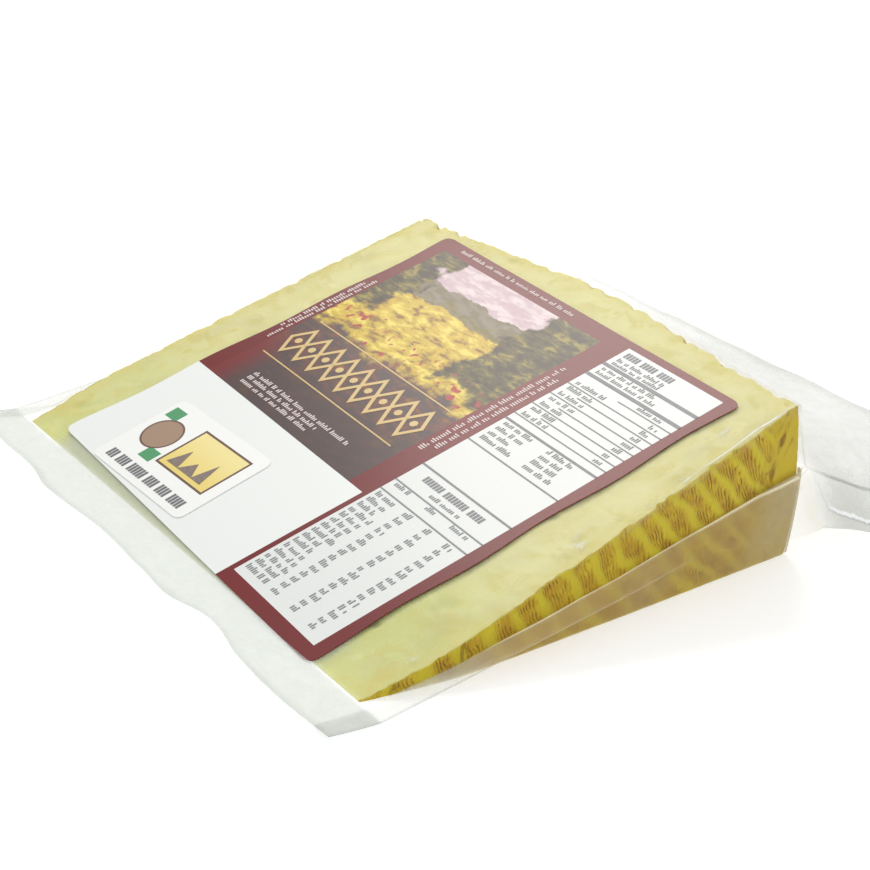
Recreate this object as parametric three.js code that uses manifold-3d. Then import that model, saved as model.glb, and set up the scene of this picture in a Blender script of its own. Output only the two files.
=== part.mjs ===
// A wedge of manchego, vacuum packed in a clear flat pouch, with a printed label and a small
// sticker on its upper cut face. Millimetres, +Z up. The wedge lies on one cut face. The origin
// is at the middle of that flat underside, +X runs from the thin edge to the thick rind edge,
// and Y runs along the axis of the wheel that the wedge was cut from.

import * as THREE from "three";
import { mergeVertices } from "three/addons/utils/BufferGeometryUtils.js";
import Module from "manifold-3d";

// ---- The wheel that the wedge was cut from ----
const WHEEL_RADIUS = 95.4;        // at the top and bottom rims of the wheel
const WHEEL_BELLY = 4.2;          // how far the side bulges past the rims, half way up
const WHEEL_HEIGHT = 105.2;       // rim to rim
const FACE_DOME = 2.9;            // how far each flat face swells towards the middle
const TIP_PINCH = 2.2;            // how far the thin tip is pressed in again
const TIP_REACH = 22;             // the pressed-in tip ends at this radius
const RIM_ROUND = 1.2;            // rounding of the wheel's rims

// ---- The wedge ----
const WEDGE_ANGLE = THREE.MathUtils.degToRad(18.68);
const TIP_THICKNESS = 0.4;        // height of the upper cut plane over the wheel's axis
const WEDGE_CENTRE = WHEEL_RADIUS / 2;  // from the wheel's axis to the origin

// ---- The pouch: two sheets of film, pressed together all round the cheese ----
const FLANGE_THICKNESS = 0.4;     // both sheets together
const FLANGE_CLEARANCE = 0.02;    // between the flange and the ground where it lies flat
const APEX_FLANGE = 9.8;          // width of the sealed band beyond the thin edge
const END_FLANGE = 36;            // length of the empty end beyond the rind edge
const SIDE_EDGE = 59.2;           // from the middle to the pouch's long edges
const SEAM_SLOPE = Math.tan(WEDGE_ANGLE / 2);  // the sheets meet half way up the wedge
const SEAM_RISE = 1.7;            // and this much higher towards the rind edge
const SIDE_DROOP = 9;             // how far the side flanges hang down at the rind edge
const APEX_LIFT = 1.5;            // how far the wavy seal band lifts off the ground
const END_FALL = 31;              // the empty end's corners reach the ground over this length
const END_SAG = 0.12;             // how much of its height the middle loses, as a share
const END_CREST = 40;             // half the width of that high middle
const END_RIPPLE = 0.5;           // height of the ripples across the empty end
const END_RIPPLE_LENGTH = 23;     // from one ripple to the next

// ---- The label and the sticker, in the plane of the upper cut face ----
const LABEL = { left: 2, right: 90.5, near: -40.9, far: 44.9, corner: 3, thickness: 0.2 };
const LABEL_TURN = THREE.MathUtils.degToRad(-2.7);
const STICKER_TURN = THREE.MathUtils.degToRad(1);
const STICKER = { left: 3.2, right: 23.9, near: 4.2, far: 34.2, corner: 1.8, thickness: 0.15 };
const PAPER_GAP = 0.3;            // between the pouch and the label, and the label and the sticker

const wasm = await Module();
wasm.setup();

// ---------------------------------------------------------------- joining and cutting

function toSolid(geometry) {
  const bare = geometry.clone();
  bare.deleteAttribute("normal");
  bare.deleteAttribute("uv");
  const merged = mergeVertices(bare, 1e-4);
  return new wasm.Manifold(new wasm.Mesh({
    numProp: 3,
    vertProperties: new Float32Array(merged.attributes.position.array),
    triVerts: new Uint32Array(merged.index.array),
  }));
}

function toGeometry(solid) {
  const mesh = solid.getMesh();
  const geometry = new THREE.BufferGeometry();
  geometry.setAttribute("position", new THREE.BufferAttribute(mesh.vertProperties, 3));
  geometry.setIndex(new THREE.BufferAttribute(mesh.triVerts, 1));
  geometry.computeVertexNormals();
  return geometry;
}

const smoothstep = THREE.MathUtils.smoothstep;

// ---------------------------------------------------------------- the cheese

// Half the wheel's height at a distance from its axis: domed, and pressed in at the very tip.
function halfHeight(radius) {
  const dome = FACE_DOME * (1 - (radius / WHEEL_RADIUS) ** 1.5);
  const tip = TIP_PINCH * (1 - Math.sin((Math.PI / 2) * Math.min(radius / TIP_REACH, 1)));
  return WHEEL_HEIGHT / 2 + dome - tip;
}

// The side's radius at a height along the axis, measured from the middle.
function sideRadius(along) {
  return WHEEL_RADIUS + (WHEEL_BELLY / 2) * (1 + Math.cos((2 * Math.PI * along) / WHEEL_HEIGHT));
}

// The wheel's outline, from its axis over one flat face, up the side and back over the other.
function wheelProfile() {
  const faceSteps = 9;
  const rimSteps = 3;
  const sideSteps = 14;
  const faceEnd = WHEEL_RADIUS - RIM_ROUND;
  const sideEnd = WHEEL_HEIGHT / 2 - RIM_ROUND;
  const lower = [];
  for (let i = 0; i <= faceSteps; i += 1) {
    const radius = (faceEnd * i) / faceSteps;
    lower.push(new THREE.Vector2(radius, -halfHeight(radius)));
  }
  for (let i = 1; i < rimSteps; i += 1) {
    const turn = (Math.PI / 2) * (i / rimSteps);
    lower.push(new THREE.Vector2(faceEnd + RIM_ROUND * Math.sin(turn),
      -sideEnd - RIM_ROUND * Math.cos(turn)));
  }
  const side = [];
  for (let i = 0; i <= sideSteps; i += 1) {
    const along = -sideEnd + (2 * sideEnd * i) / sideSteps;
    side.push(new THREE.Vector2(sideRadius(along), along));
  }
  const upper = lower.map((point) => new THREE.Vector2(point.x, -point.y)).reverse();
  return [...lower, ...side, ...upper];
}

// The wheel turned about its axis, and the sector that lies between the two cuts.
function makeCheese() {
  const turnSteps = 176;
  const wheel = toSolid(new THREE.LatheGeometry(wheelProfile(), turnSteps));
  const reach = 2 * WHEEL_RADIUS;
  const depth = WHEEL_HEIGHT;
  const sector = new THREE.Shape();
  sector.moveTo(0, 0);
  sector.lineTo(reach, 0);
  sector.lineTo(reach, TIP_THICKNESS + reach * Math.tan(WEDGE_ANGLE));
  sector.lineTo(0, TIP_THICKNESS);
  const between = new THREE.ExtrudeGeometry(sector, { depth: 2 * depth, bevelEnabled: false });
  between.rotateX(Math.PI / 2);
  between.translate(0, depth, 0);
  return wheel.intersect(toSolid(between));
}

// ---------------------------------------------------------------- the flanges

// Height over the ground of the sealed band beyond the thin edge, which waves along Y.
function apexBandLift(x, y) {
  const outward = -x / APEX_FLANGE;
  const wave = 0.5 + 0.5 * Math.sin(y * 0.16 + 0.7 * Math.sin(y * 0.07 + 1.1));
  return APEX_LIFT * outward ** 1.5 * wave;
}

// Height over the ground of the seam along the wedge. It hangs lower towards the long edges.
function seamLift(x, y) {
  const outside = smoothstep(Math.abs(y), WHEEL_HEIGHT / 2, SIDE_EDGE);
  const rise = SEAM_RISE * smoothstep(x, 0.45 * WHEEL_RADIUS, 0.9 * WHEEL_RADIUS);
  const hang = SIDE_DROOP * outside * smoothstep(x, 0.6 * WHEEL_RADIUS, WHEEL_RADIUS);
  return SEAM_SLOPE * x + rise - hang;
}

// Height over the ground of the empty end. Its middle sags a little, and its long edges fall
// to the ground.
function endLift(x, y) {
  const along = Math.min((x - WHEEL_RADIUS) / END_FALL, 1);
  const start = seamLift(WHEEL_RADIUS, y);
  const crest = start * (1 - END_SAG * ((x - WHEEL_RADIUS) / END_FLANGE));
  const edge = start * (1 - along) ** 1.08;
  const outside = smoothstep(Math.abs(y), END_CREST, SIDE_EDGE);
  const ripple = Math.sin((2 * Math.PI * y) / END_RIPPLE_LENGTH + 3 * along);
  return crest + (edge - crest) * outside + END_RIPPLE * ripple * Math.sin(Math.PI * along);
}

// Height of the middle of the two pressed sheets at a place in plan.
function seamHeight(x, y) {
  const lying = FLANGE_CLEARANCE + FLANGE_THICKNESS / 2;
  if (x <= 0) {
    return lying + apexBandLift(x, y);
  }
  return lying + Math.max(0, x <= WHEEL_RADIUS ? seamLift(x, y) : endLift(x, y));
}

// How much taller a sheet of even thickness is, measured straight up, where it slopes across.
function slopeGain(x, y) {
  const reach = 0.5;
  const slope = (seamHeight(x, y + reach) - seamHeight(x, y - reach)) / (2 * reach);
  return Math.sqrt(1 + slope * slope);
}

// The thin sheet: a flat slab with a grid, lifted to the seam.
function makeFlange() {
  const stepsX = 30;
  const stepsY = 26;
  const length = APEX_FLANGE + WHEEL_RADIUS + END_FLANGE;
  const slab = new THREE.BoxGeometry(length, 2 * SIDE_EDGE, FLANGE_THICKNESS, stepsX, stepsY, 1);
  slab.translate(length / 2 - APEX_FLANGE, 0, 0);
  const points = slab.attributes.position;
  for (let i = 0; i < points.count; i += 1) {
    const x = points.getX(i);
    const y = points.getY(i);
    points.setZ(i, points.getZ(i) * slopeGain(x, y) + seamHeight(x, y));
  }
  return toSolid(slab);
}

function makePouch() {
  const pouch = makeCheese().add(makeFlange());
  const material = new THREE.MeshStandardMaterial({
    color: 0xdedbab, roughness: 0.28, metalness: 0,
  });
  const mesh = new THREE.Mesh(toGeometry(pouch), material);
  mesh.name = "bag";
  return mesh;
}

// ---------------------------------------------------------------- label and sticker

function makeRoundedPanel(name, panel, color) {
  const { left, right, near, far, corner, thickness } = panel;
  const outline = new THREE.Shape();
  outline.moveTo(left + corner, near);
  outline.lineTo(right - corner, near);
  outline.absarc(right - corner, near + corner, corner, -Math.PI / 2, 0, false);
  outline.absarc(right - corner, far - corner, corner, 0, Math.PI / 2, false);
  outline.absarc(left + corner, far - corner, corner, Math.PI / 2, Math.PI, false);
  outline.absarc(left + corner, near + corner, corner, Math.PI, 1.5 * Math.PI, false);
  const geometry = new THREE.ExtrudeGeometry(outline, {
    depth: thickness, bevelEnabled: false, curveSegments: 5,
  });
  const mesh = new THREE.Mesh(geometry, new THREE.MeshStandardMaterial({
    color, roughness: 0.42, metalness: 0,
  }));
  mesh.name = name;
  return mesh;
}

// A group whose XY plane is the upper cut face, X up the slope and Z out of the face.
function makeCutFaceGroup() {
  const label = makeRoundedPanel("label", LABEL, 0x8a3f46);
  label.rotation.z = LABEL_TURN;
  label.position.z = PAPER_GAP;
  const sticker = makeRoundedPanel("sticker", STICKER, 0xf1efe6);
  sticker.rotation.z = STICKER_TURN;
  sticker.position.z = PAPER_GAP + LABEL.thickness + PAPER_GAP;
  const face = new THREE.Group();
  face.add(label, sticker);
  face.rotation.y = -WEDGE_ANGLE;
  face.position.z = TIP_THICKNESS;
  return face;
}

const wedge = new THREE.Group();
wedge.add(makePouch(), makeCutFaceGroup());
wedge.position.x = -WEDGE_CENTRE;

const group = new THREE.Group();
group.add(wedge);

export default group;
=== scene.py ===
# %% [markdown]
# # A vacuum-packed wedge of manchego
# The object is a wedge of sheep's milk cheese, sealed in a clear film pouch, with a printed
# label and a small sticker on its upper cut face. The frame gives three solids: the bag, the
# label and the sticker. Each one is replaced here by what the eye sees: cheese with a pressed
# rind, two webs of film that meet in a flange, and printed paper.

# %% Load the frame
import math
import random
from types import SimpleNamespace

import bpy
import numpy as np
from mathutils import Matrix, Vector, noise


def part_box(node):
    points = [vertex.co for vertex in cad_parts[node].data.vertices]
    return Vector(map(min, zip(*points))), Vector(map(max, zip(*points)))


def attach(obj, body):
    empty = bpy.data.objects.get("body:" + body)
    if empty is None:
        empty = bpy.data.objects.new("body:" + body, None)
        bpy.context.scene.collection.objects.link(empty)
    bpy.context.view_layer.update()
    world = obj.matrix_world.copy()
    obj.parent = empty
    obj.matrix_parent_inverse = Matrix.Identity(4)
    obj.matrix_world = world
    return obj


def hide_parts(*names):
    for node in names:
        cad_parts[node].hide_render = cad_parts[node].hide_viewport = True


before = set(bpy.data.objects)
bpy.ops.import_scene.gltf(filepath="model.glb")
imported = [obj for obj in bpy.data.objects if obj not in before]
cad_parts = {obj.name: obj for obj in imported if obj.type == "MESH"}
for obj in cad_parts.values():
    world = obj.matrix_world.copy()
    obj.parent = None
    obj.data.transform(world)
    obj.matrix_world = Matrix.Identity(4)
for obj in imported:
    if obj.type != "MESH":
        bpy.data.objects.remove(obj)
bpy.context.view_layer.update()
bag_low, bag_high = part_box("bag")
label_low, label_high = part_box("label")
for solid, low, high in (("bag", bag_low, bag_high), ("label", label_low, label_high)):
    print(solid, "from", [round(v, 4) for v in low], "to", [round(v, 4) for v in high])

# %% [markdown]
# ## The measures
# The wedge is a sector of a cheese wheel. The wheel's axis lies along Y, at the thin edge, so
# the near and far triangles are parts of the wheel's flat faces, and the thick end is a part
# of its side. The values here are the wheel's own. The pouch's edges come from the frame.

# %% Driving measures
MM = 0.001
WHEEL_RADIUS = 95.4 * MM
WHEEL_BELLY = 4.2 * MM
WHEEL_HEIGHT = 105.2 * MM
FACE_DOME = 2.9 * MM
TIP_PINCH = 2.2 * MM
TIP_REACH = 22 * MM
RIM_ROUND = 1.2 * MM
WEDGE_ANGLE = math.radians(18.68)
TIP_THICKNESS = 0.4 * MM
AXIS_X = -WHEEL_RADIUS / 2

POUCH_APEX = bag_low.x - AXIS_X
POUCH_END = bag_high.x - AXIS_X
POUCH_SIDE = bag_high.y
FLANGE_THICKNESS = 0.3 * MM
FLANGE_REST = 0.22 * MM
SEAM_SLOPE = math.tan(WEDGE_ANGLE / 2)
SEAM_RISE = 1.7 * MM
SIDE_DROOP = 9 * MM
APEX_LIFT = 1.5 * MM
END_FALL = 31 * MM
END_RIPPLE = 0.5 * MM
END_RIPPLE_LENGTH = 23 * MM
END_SAG = 0.12
END_CREST = 40 * MM
TAU = 2 * math.pi


def half_height(radius):
    """Half the wheel's height at a distance from its axis."""
    dome = FACE_DOME * (1 - (np.abs(radius) / WHEEL_RADIUS) ** 1.5)
    tip = TIP_PINCH * (1 - np.sin(0.25 * TAU * np.minimum(np.abs(radius) / TIP_REACH, 1)))
    return WHEEL_HEIGHT / 2 + dome - tip


def side_radius(along):
    """The wheel's radius at a height along its axis."""
    along = np.clip(along, -WHEEL_HEIGHT / 2, WHEEL_HEIGHT / 2)
    return WHEEL_RADIUS + WHEEL_BELLY / 2 * (1 + np.cos(TAU * along / WHEEL_HEIGHT))


def smoothstep(value, low, high):
    t = np.clip((value - low) / (high - low), 0, 1)
    return t * t * (3 - 2 * t)


# %% [markdown]
# ## The camera
# The camera stands where the photograph was taken: in front of the thin edge and the near
# rind face, looking down by 25 degrees, a little rolled. Its place was worked out from the
# label's corners and rules and the wedge's corners, with a lens of 70 mm.

# %% Camera
CAMERA_PLACE = Vector((-180.45, -215.37, 141.62)) * MM
CAMERA_TURN = (64.949, -6.217, -38.126)
CAMERA_LENS = 70.5

bpy.ops.object.select_all(action="DESELECT")
bpy.ops.object.camera_add(location=CAMERA_PLACE, rotation=[math.radians(v) for v in CAMERA_TURN])
camera = bpy.context.object
camera.name = "photo_camera"
camera.data.lens = CAMERA_LENS
camera.data.sensor_width = 36
camera.data.sensor_fit = "HORIZONTAL"
camera.data.clip_start = 0.005
bpy.context.scene.camera = camera
print("camera looks from", [round(v, 3) for v in camera.location])

# %% [markdown]
# ## Small tools
# Work by hand in Blender goes: add a primitive, go to edit mode, select by place, run an
# operator, come back. These helpers say just that. Moving every point by a rule, as a
# sculptor would push a surface, is done on an array of the points.

# %% Helpers for meshes


def deselect():
    if bpy.context.object and bpy.context.object.mode != "OBJECT":
        bpy.ops.object.mode_set(mode="OBJECT")
    bpy.ops.object.select_all(action="DESELECT")


def pick(piece):
    """Makes the piece the only selected one, and the active one."""
    deselect()
    bpy.context.view_layer.objects.active = piece
    piece.select_set(True)


def named(name):
    """Names the object that an operator has just added, and puts its place into its mesh."""
    piece = bpy.context.object
    piece.name = name
    piece.data.name = name
    bpy.ops.object.transform_apply(location=True, rotation=True, scale=True)
    return piece


def points_of(piece):
    flat = np.empty(len(piece.data.vertices) * 3)
    piece.data.vertices.foreach_get("co", flat)
    return flat.reshape(-1, 3)


def move_points(piece, places):
    piece.data.vertices.foreach_set("co", np.asarray(places, float).ravel())
    piece.data.update()


def in_edit_mode(piece, *steps):
    """Selects all of the piece in edit mode and runs the steps one after the other."""
    pick(piece)
    bpy.ops.object.mode_set(mode="EDIT")
    bpy.ops.mesh.select_all(action="SELECT")
    for step in steps:
        step()
    bpy.ops.object.mode_set(mode="OBJECT")


def on_chosen(piece, kind, chosen, step):
    """Selects the chosen points, edges or faces, and runs one step on them in edit mode."""
    elements = {"VERT": piece.data.vertices, "EDGE": piece.data.edges, "FACE": piece.data.polygons}
    pick(piece)
    bpy.ops.object.mode_set(mode="EDIT")
    bpy.ops.mesh.select_mode(type=kind)
    bpy.ops.mesh.select_all(action="DESELECT")
    bpy.ops.object.mode_set(mode="OBJECT")
    elements[kind].foreach_set("select", np.asarray(chosen, dtype=bool))
    bpy.ops.object.mode_set(mode="EDIT")
    step()
    bpy.ops.object.mode_set(mode="OBJECT")


def grow_noise(places, size, seed=0.0):
    """Smooth noise from -1 to 1 at each place; size is the breadth of one blot."""
    shift = Vector((seed, 2.3 * seed, -1.7 * seed))
    return np.array([noise.noise(Vector(p) / size + shift) for p in places])


def keep_value(piece, name, values):
    """Stores one number for each point, for a material to read."""
    layer = piece.data.attributes.new(name, "FLOAT", "POINT")
    layer.data.foreach_set("value", np.asarray(values, np.float32))


def smooth_by_angle(piece, degrees):
    pick(piece)
    bpy.ops.object.shade_smooth_by_angle(angle=math.radians(degrees))


def thicken(piece, thickness, offset):
    """Gives a flat piece a thickness, downwards at offset -1 and both ways at 0."""
    pick(piece)
    bpy.ops.object.modifier_add(type="SOLIDIFY")
    piece.modifiers[-1].thickness = thickness
    piece.modifiers[-1].offset = offset
    bpy.ops.object.modifier_apply(modifier=piece.modifiers[-1].name)


def join(name, parts):
    deselect()
    for part in parts:
        part.select_set(True)
    bpy.context.view_layer.objects.active = parts[0]
    if len(parts) > 1:
        bpy.ops.object.join()
    parts[0].name = name
    parts[0].data.name = name
    return parts[0]


# %% Helpers for materials


class Look:
    """A material's node tree, with short calls that add and join nodes."""

    def __init__(self, name):
        self.material = bpy.data.materials.new(name)
        self.material.use_nodes = True
        self.tree = self.material.node_tree
        self.tree.nodes.clear()
        self.out = self.tree.nodes.new("ShaderNodeOutputMaterial")

    def add(self, kind, inputs=None, **settings):
        node = self.tree.nodes.new(kind)
        for key, value in settings.items():
            setattr(node, key, value)
        for key, value in (inputs or {}).items():
            self.feed(node.inputs[key], value)
        return node

    def feed(self, socket, value):
        if isinstance(value, bpy.types.NodeSocket):
            self.tree.links.new(value, socket)
        elif isinstance(value, (tuple, list)) and len(value) == 3 and socket.type == "RGBA":
            socket.default_value = (*value, 1)
        else:
            socket.default_value = value

    def calc(self, operation, a, b=0.0, c=0.0, clamp=False):
        node = self.add("ShaderNodeMath", operation=operation, use_clamp=clamp)
        for socket, value in zip(node.inputs, (a, b, c)):
            self.feed(socket, value)
        return node.outputs[0]

    def mix(self, share, first, second, blend="MIX"):
        node = self.add("ShaderNodeMix", data_type="RGBA", blend_type=blend)
        for number, value in ((0, share), (6, first), (7, second)):
            self.feed(node.inputs[number], value)
        return node.outputs[2]

    def step(self, value, low, high, to_low=0.0, to_high=1.0):
        node = self.add("ShaderNodeMapRange", interpolation_type="SMOOTHSTEP")
        for socket, number in zip(node.inputs, (value, low, high, to_low, to_high)):
            self.feed(socket, number)
        return node.outputs[0]

    def noise(self, where, size, detail=3.0, rough=0.55, warp=0.0):
        """Noise from 0 to 1 whose blots are about as broad as size, in metres."""
        node = self.add("ShaderNodeTexNoise", {"Vector": where, "Scale": 1 / size, "Detail": detail,
                                               "Roughness": rough, "Distortion": warp})
        return node.outputs[0]

    def sway(self, noise, breadth):
        """Noise made a shift to both sides of 0."""
        return self.calc("MULTIPLY", self.calc("SUBTRACT", noise, 0.5), breadth)

    def wave(self, turns, times=1):
        """A wave from 0 to 1 with a crest at each whole turn, or times as many crests."""
        swing = self.calc("COSINE", self.calc("MULTIPLY", turns, times * TAU))
        return self.calc("MULTIPLY_ADD", swing, 0.5, 0.5)

    def length(self, a, b):
        """The distance that two steps at right angles make together."""
        squares = self.calc("ADD", self.calc("MULTIPLY", a, a), self.calc("MULTIPLY", b, b))
        return self.calc("SQRT", squares)

    def stretched(self, where, scale):
        return self.add("ShaderNodeMapping", {"Vector": where, "Scale": scale}).outputs[0]

    def place(self):
        return self.add("ShaderNodeTexCoord").outputs["Object"]

    def value(self, name):
        return self.add("ShaderNodeAttribute", attribute_name=name).outputs["Fac"]

    def bump(self, height, depth, strength=1.0):
        """A normal from a height; depth is how far, in metres, a height of 1 stands out."""
        node = self.add("ShaderNodeBump", {"Height": height, "Distance": depth,
                                           "Strength": strength})
        return node.outputs[0]

    def finish(self, shader):
        self.tree.links.new(shader, self.out.inputs["Surface"])
        return self.material


def rgb(red, green, blue):
    """A colour as a colour picker gives it, 0 to 255, made linear for a shader."""
    def linear(value):
        value /= 255
        return value / 12.92 if value <= 0.04045 else ((value + 0.055) / 1.055) ** 2.4
    return linear(red), linear(green), linear(blue)


# %% [markdown]
# ## The cheese: cut out of its wheel
# A wheel of cheese is a solid of revolution, and a wedge is the part that one radial cut
# sweeps when it turns about the axis. So the lower cut face is drawn as a fine grid, shaped
# to the wheel's domed faces and bulging side, and then spun by the wedge's angle. Spin gives
# the two cut faces and the rind between them in one closed skin of even squares. Cutting a
# cylinder with booleans would leave long thin faces that no relief could be pressed into.

# %% Spin the wedge
CUT_GRID = (200, 120)
SPIN_STEPS = 60
SKIN_GAP = 0.2 * MM
EDGE_CROWD_OUT = 0.35
EDGE_CROWD_ALONG = 0.5


def crowd(share, amount):
    """Moves even steps from -1 to 1 closer together towards both ends."""
    return share + amount * np.sin(0.5 * TAU * share) / (0.5 * TAU)


deselect()
bpy.ops.mesh.primitive_grid_add(x_subdivisions=CUT_GRID[0], y_subdivisions=CUT_GRID[1], size=1)
cheese = named("cheese")
sheet = points_of(cheese)
share_out = crowd(sheet[:, 0] + 0.5, EDGE_CROWD_OUT)
share_along = crowd(2 * sheet[:, 1], EDGE_CROWD_ALONG)
along = share_along * (half_height(share_out * WHEEL_RADIUS) - SKIN_GAP)
corner_loss = np.clip((np.abs(along) - WHEEL_HEIGHT / 2 + RIM_ROUND) / RIM_ROUND, 0, 1.2) ** 2
radius = share_out * (side_radius(along) - SKIN_GAP - 0.3 * RIM_ROUND * corner_loss)
move_points(cheese, np.stack([radius, along, np.zeros_like(radius)], 1))


def spin_cut():
    bpy.ops.mesh.spin(steps=SPIN_STEPS, angle=WEDGE_ANGLE, center=(0, 0, 0), axis=(0, 1, 0))


in_edit_mode(cheese, spin_cut,
             lambda: bpy.ops.mesh.select_all(action="SELECT"),
             lambda: bpy.ops.mesh.remove_doubles(threshold=0.005 * MM),
             lambda: bpy.ops.mesh.normals_make_consistent(inside=False))
print("cheese skin:", len(cheese.data.polygons), "faces, top at",
      round(points_of(cheese)[:, 2].max(), 4))

# %% [markdown]
# ## The rind's pressed pattern
# While a wheel is young it is pressed between boards and bound in a woven mat, and both leave
# their print. The flat faces carry slanting smooth ribs with strips of fine strokes between
# them, and the side carries rows of slanting stitches that turn about at each row, as in
# braided grass. The ribs and stitches are deep enough to be shape, so they are pressed into
# the mesh. The fine strokes are under a millimetre apart and are left to the material. Both
# use the same measures, so that colour and shape stay together.

# %% Measures of the pressed pattern
RIB_PITCH = 7.17 * MM
RIB_LEAN, RIB_LEAN_GAIN, RIB_MIDDLE = 1.0, 12.0, 50 * MM
RIB_SHIFT = -0.18
RIB_HALF = 0.25 * MM
RIB_SOFT = 1.25 * MM
ACROSS_SHARE = 0.63
STRIP_DEPTH = 0.34 * MM
STROKE_PITCH = 0.72 * MM
STROKE_LEAN, STROKE_BEND = 0.45, 2.06 * MM
PLAIN_FROM, PLAIN_TO = 81 * MM, 87 * MM
WOBBLE_SLOW, WOBBLE_QUICK = 1.5 * MM, 1.1 * MM
BRAID_WOBBLE = 0.8
BRAID_ROW = 9.5 * MM
BRAID_PITCH = 2.6 * MM
BRAID_SLANT = 0.75
BRAID_DEPTH = 0.5 * MM


def rib_share(x, z, wobble):
    """1 on a smooth rib of a flat face, 0 on the strips between."""
    lean = RIB_LEAN + RIB_LEAN_GAIN * (x - RIB_MIDDLE)
    turns = (x + lean * z + wobble) / RIB_PITCH + RIB_SHIFT
    away = np.abs(turns - np.floor(turns) - 0.5) * RIB_PITCH * ACROSS_SHARE
    rib = 1 - smoothstep(away, RIB_HALF, RIB_HALF + RIB_SOFT)
    return np.maximum(rib, smoothstep(x, PLAIN_FROM, PLAIN_TO))


def braid_share(arc, y):
    """1 on a stitch of the braided side, 0 in the gaps."""
    row = y / BRAID_ROW
    lean = np.where(np.floor(row) % 2 == 0, 1, -1)
    in_row = row - np.floor(row)
    turns = (arc + lean * BRAID_SLANT * in_row * BRAID_ROW) / BRAID_PITCH
    stitch = 0.5 + 0.5 * np.cos(TAU * turns)
    seam = smoothstep(np.minimum(in_row, 1 - in_row), 0, 0.12)
    return np.sqrt(stitch) * seam


# %% Which faces are rind
# The cut faces lie at the two ends of the spin, and everything between them is rind.
centres = np.empty(len(cheese.data.polygons) * 3)
cheese.data.polygons.foreach_get("center", centres)
centres = centres.reshape(-1, 3)
centre_turn = np.arctan2(centres[:, 2], centres[:, 0])
half_step = 0.4 * WEDGE_ANGLE / SPIN_STEPS
is_rind = (centre_turn > half_step) & (centre_turn < WEDGE_ANGLE - half_step)
print("rind faces:", int(is_rind.sum()), "of", len(is_rind))

# %% Where each point lies
# The turn about the axis, the distance from it, and the distances from the flat faces, from
# the side and from the cuts say what each point belongs to.
skin = points_of(cheese)
turn = np.arctan2(skin[:, 2], np.maximum(skin[:, 0], 1e-6))
reach = np.hypot(skin[:, 0], skin[:, 2])
to_flat = half_height(reach) - SKIN_GAP - np.abs(skin[:, 1])
to_rim = side_radius(skin[:, 1]) - SKIN_GAP - reach
to_cut = reach * np.minimum(turn, WEDGE_ANGLE - turn)
near_rind = np.minimum(to_flat, to_rim)
on_swept = (turn > 0.2 * WEDGE_ANGLE / SPIN_STEPS) & (turn < WEDGE_ANGLE * (1 - 0.2 / SPIN_STEPS))
on_rim = to_rim < np.maximum(to_flat, 0.3 * MM)
rim_share = smoothstep(to_flat - to_rim, -1.5 * MM, 1.5 * MM)
thin = smoothstep(reach * WEDGE_ANGLE, 0.5 * MM, 3 * MM)

# %% Press the pattern in
# The pattern wanders, fades out at the cuts and at the thin edge, and the stitches grow
# shallow towards the flat faces.
wobble = WOBBLE_SLOW * grow_noise(skin, 9 * MM, 3.1)
wobble = wobble + WOBBLE_QUICK * grow_noise(skin, 3.6 * MM, 9.4)
press_flat = STRIP_DEPTH * (1 - rib_share(skin[:, 0], skin[:, 2], wobble))
press_flat = press_flat * smoothstep(to_cut, 0, 1.5 * MM)
press_rim = BRAID_DEPTH * (1 - braid_share(turn * WHEEL_RADIUS, skin[:, 1] + BRAID_WOBBLE * wobble))
press_rim = press_rim * (0.15 + 0.85 * smoothstep(to_flat, 1 * MM, 7 * MM))
rough = 0.06 * MM * grow_noise(skin, 1.3 * MM, 8.2) + 0.12 * MM * grow_noise(skin, 5 * MM, 5.7)
touch = on_swept | (near_rind < 0.3 * MM)
flat_push = np.where(touch & ~on_rim, press_flat * thin + rough, 0)
rim_push = np.where(touch & on_rim, press_rim + rough, 0)
skin[:, 1] -= np.sign(skin[:, 1]) * flat_push
skin[:, 0] -= rim_push * np.cos(turn)
skin[:, 2] -= rim_push * np.sin(turn)
print("deepest press:", round(float(max(flat_push.max(), rim_push.max())) / MM, 2), "mm")

# %% Wear the edges
# A knife drags crumbs out of the upper edge beside the rind, and leaves the cut a little
# uneven, with a few pits.
CRUMB_DEEP, CRUMB_WIDE = 2.5 * MM, 2.0 * MM
CHIP_DEEP, CHIP_WIDE = 0.7 * MM, 1.2 * MM
PIT_DEEP = 1.6 * MM
ragged = 0.9 * grow_noise(skin, 2.8 * MM, 1.9) + 1.3 * grow_noise(skin, 1.3 * MM, 6.3)
ragged = np.clip(ragged, 0, 1)
crumb = CRUMB_DEEP * ragged * smoothstep(-to_rim, -CRUMB_WIDE, -0.2 * MM)
crumb = crumb * smoothstep(turn / WEDGE_ANGLE, 0.86, 0.97)
chip = CHIP_DEEP * ragged * smoothstep(-to_flat, -CHIP_WIDE, -0.1 * MM)
chip = chip * smoothstep(turn / WEDGE_ANGLE, 0.86, 1.0)
swell = 0.22 * MM * grow_noise(skin, 11 * MM, 4.4) + 0.08 * MM * grow_noise(skin, 2.5 * MM, 7.7)
pits = PIT_DEEP * np.clip(grow_noise(skin, 4.5 * MM, 12.5) - 0.42, 0, 1)
down = np.clip(-swell, -0.12 * MM, 1) + pits * smoothstep(to_flat, 0, 4 * MM) + 0.35 * crumb
down = down * (turn > 0.5 * WEDGE_ANGLE) * (~on_swept) * thin
skin[:, 0] += down * math.sin(WEDGE_ANGLE) - crumb * 0.55 * np.cos(turn)
skin[:, 2] -= down * math.cos(WEDGE_ANGLE) + crumb * 0.55 * np.sin(turn)
skin[:, 1] -= np.sign(skin[:, 1]) * chip
move_points(cheese, skin)
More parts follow.
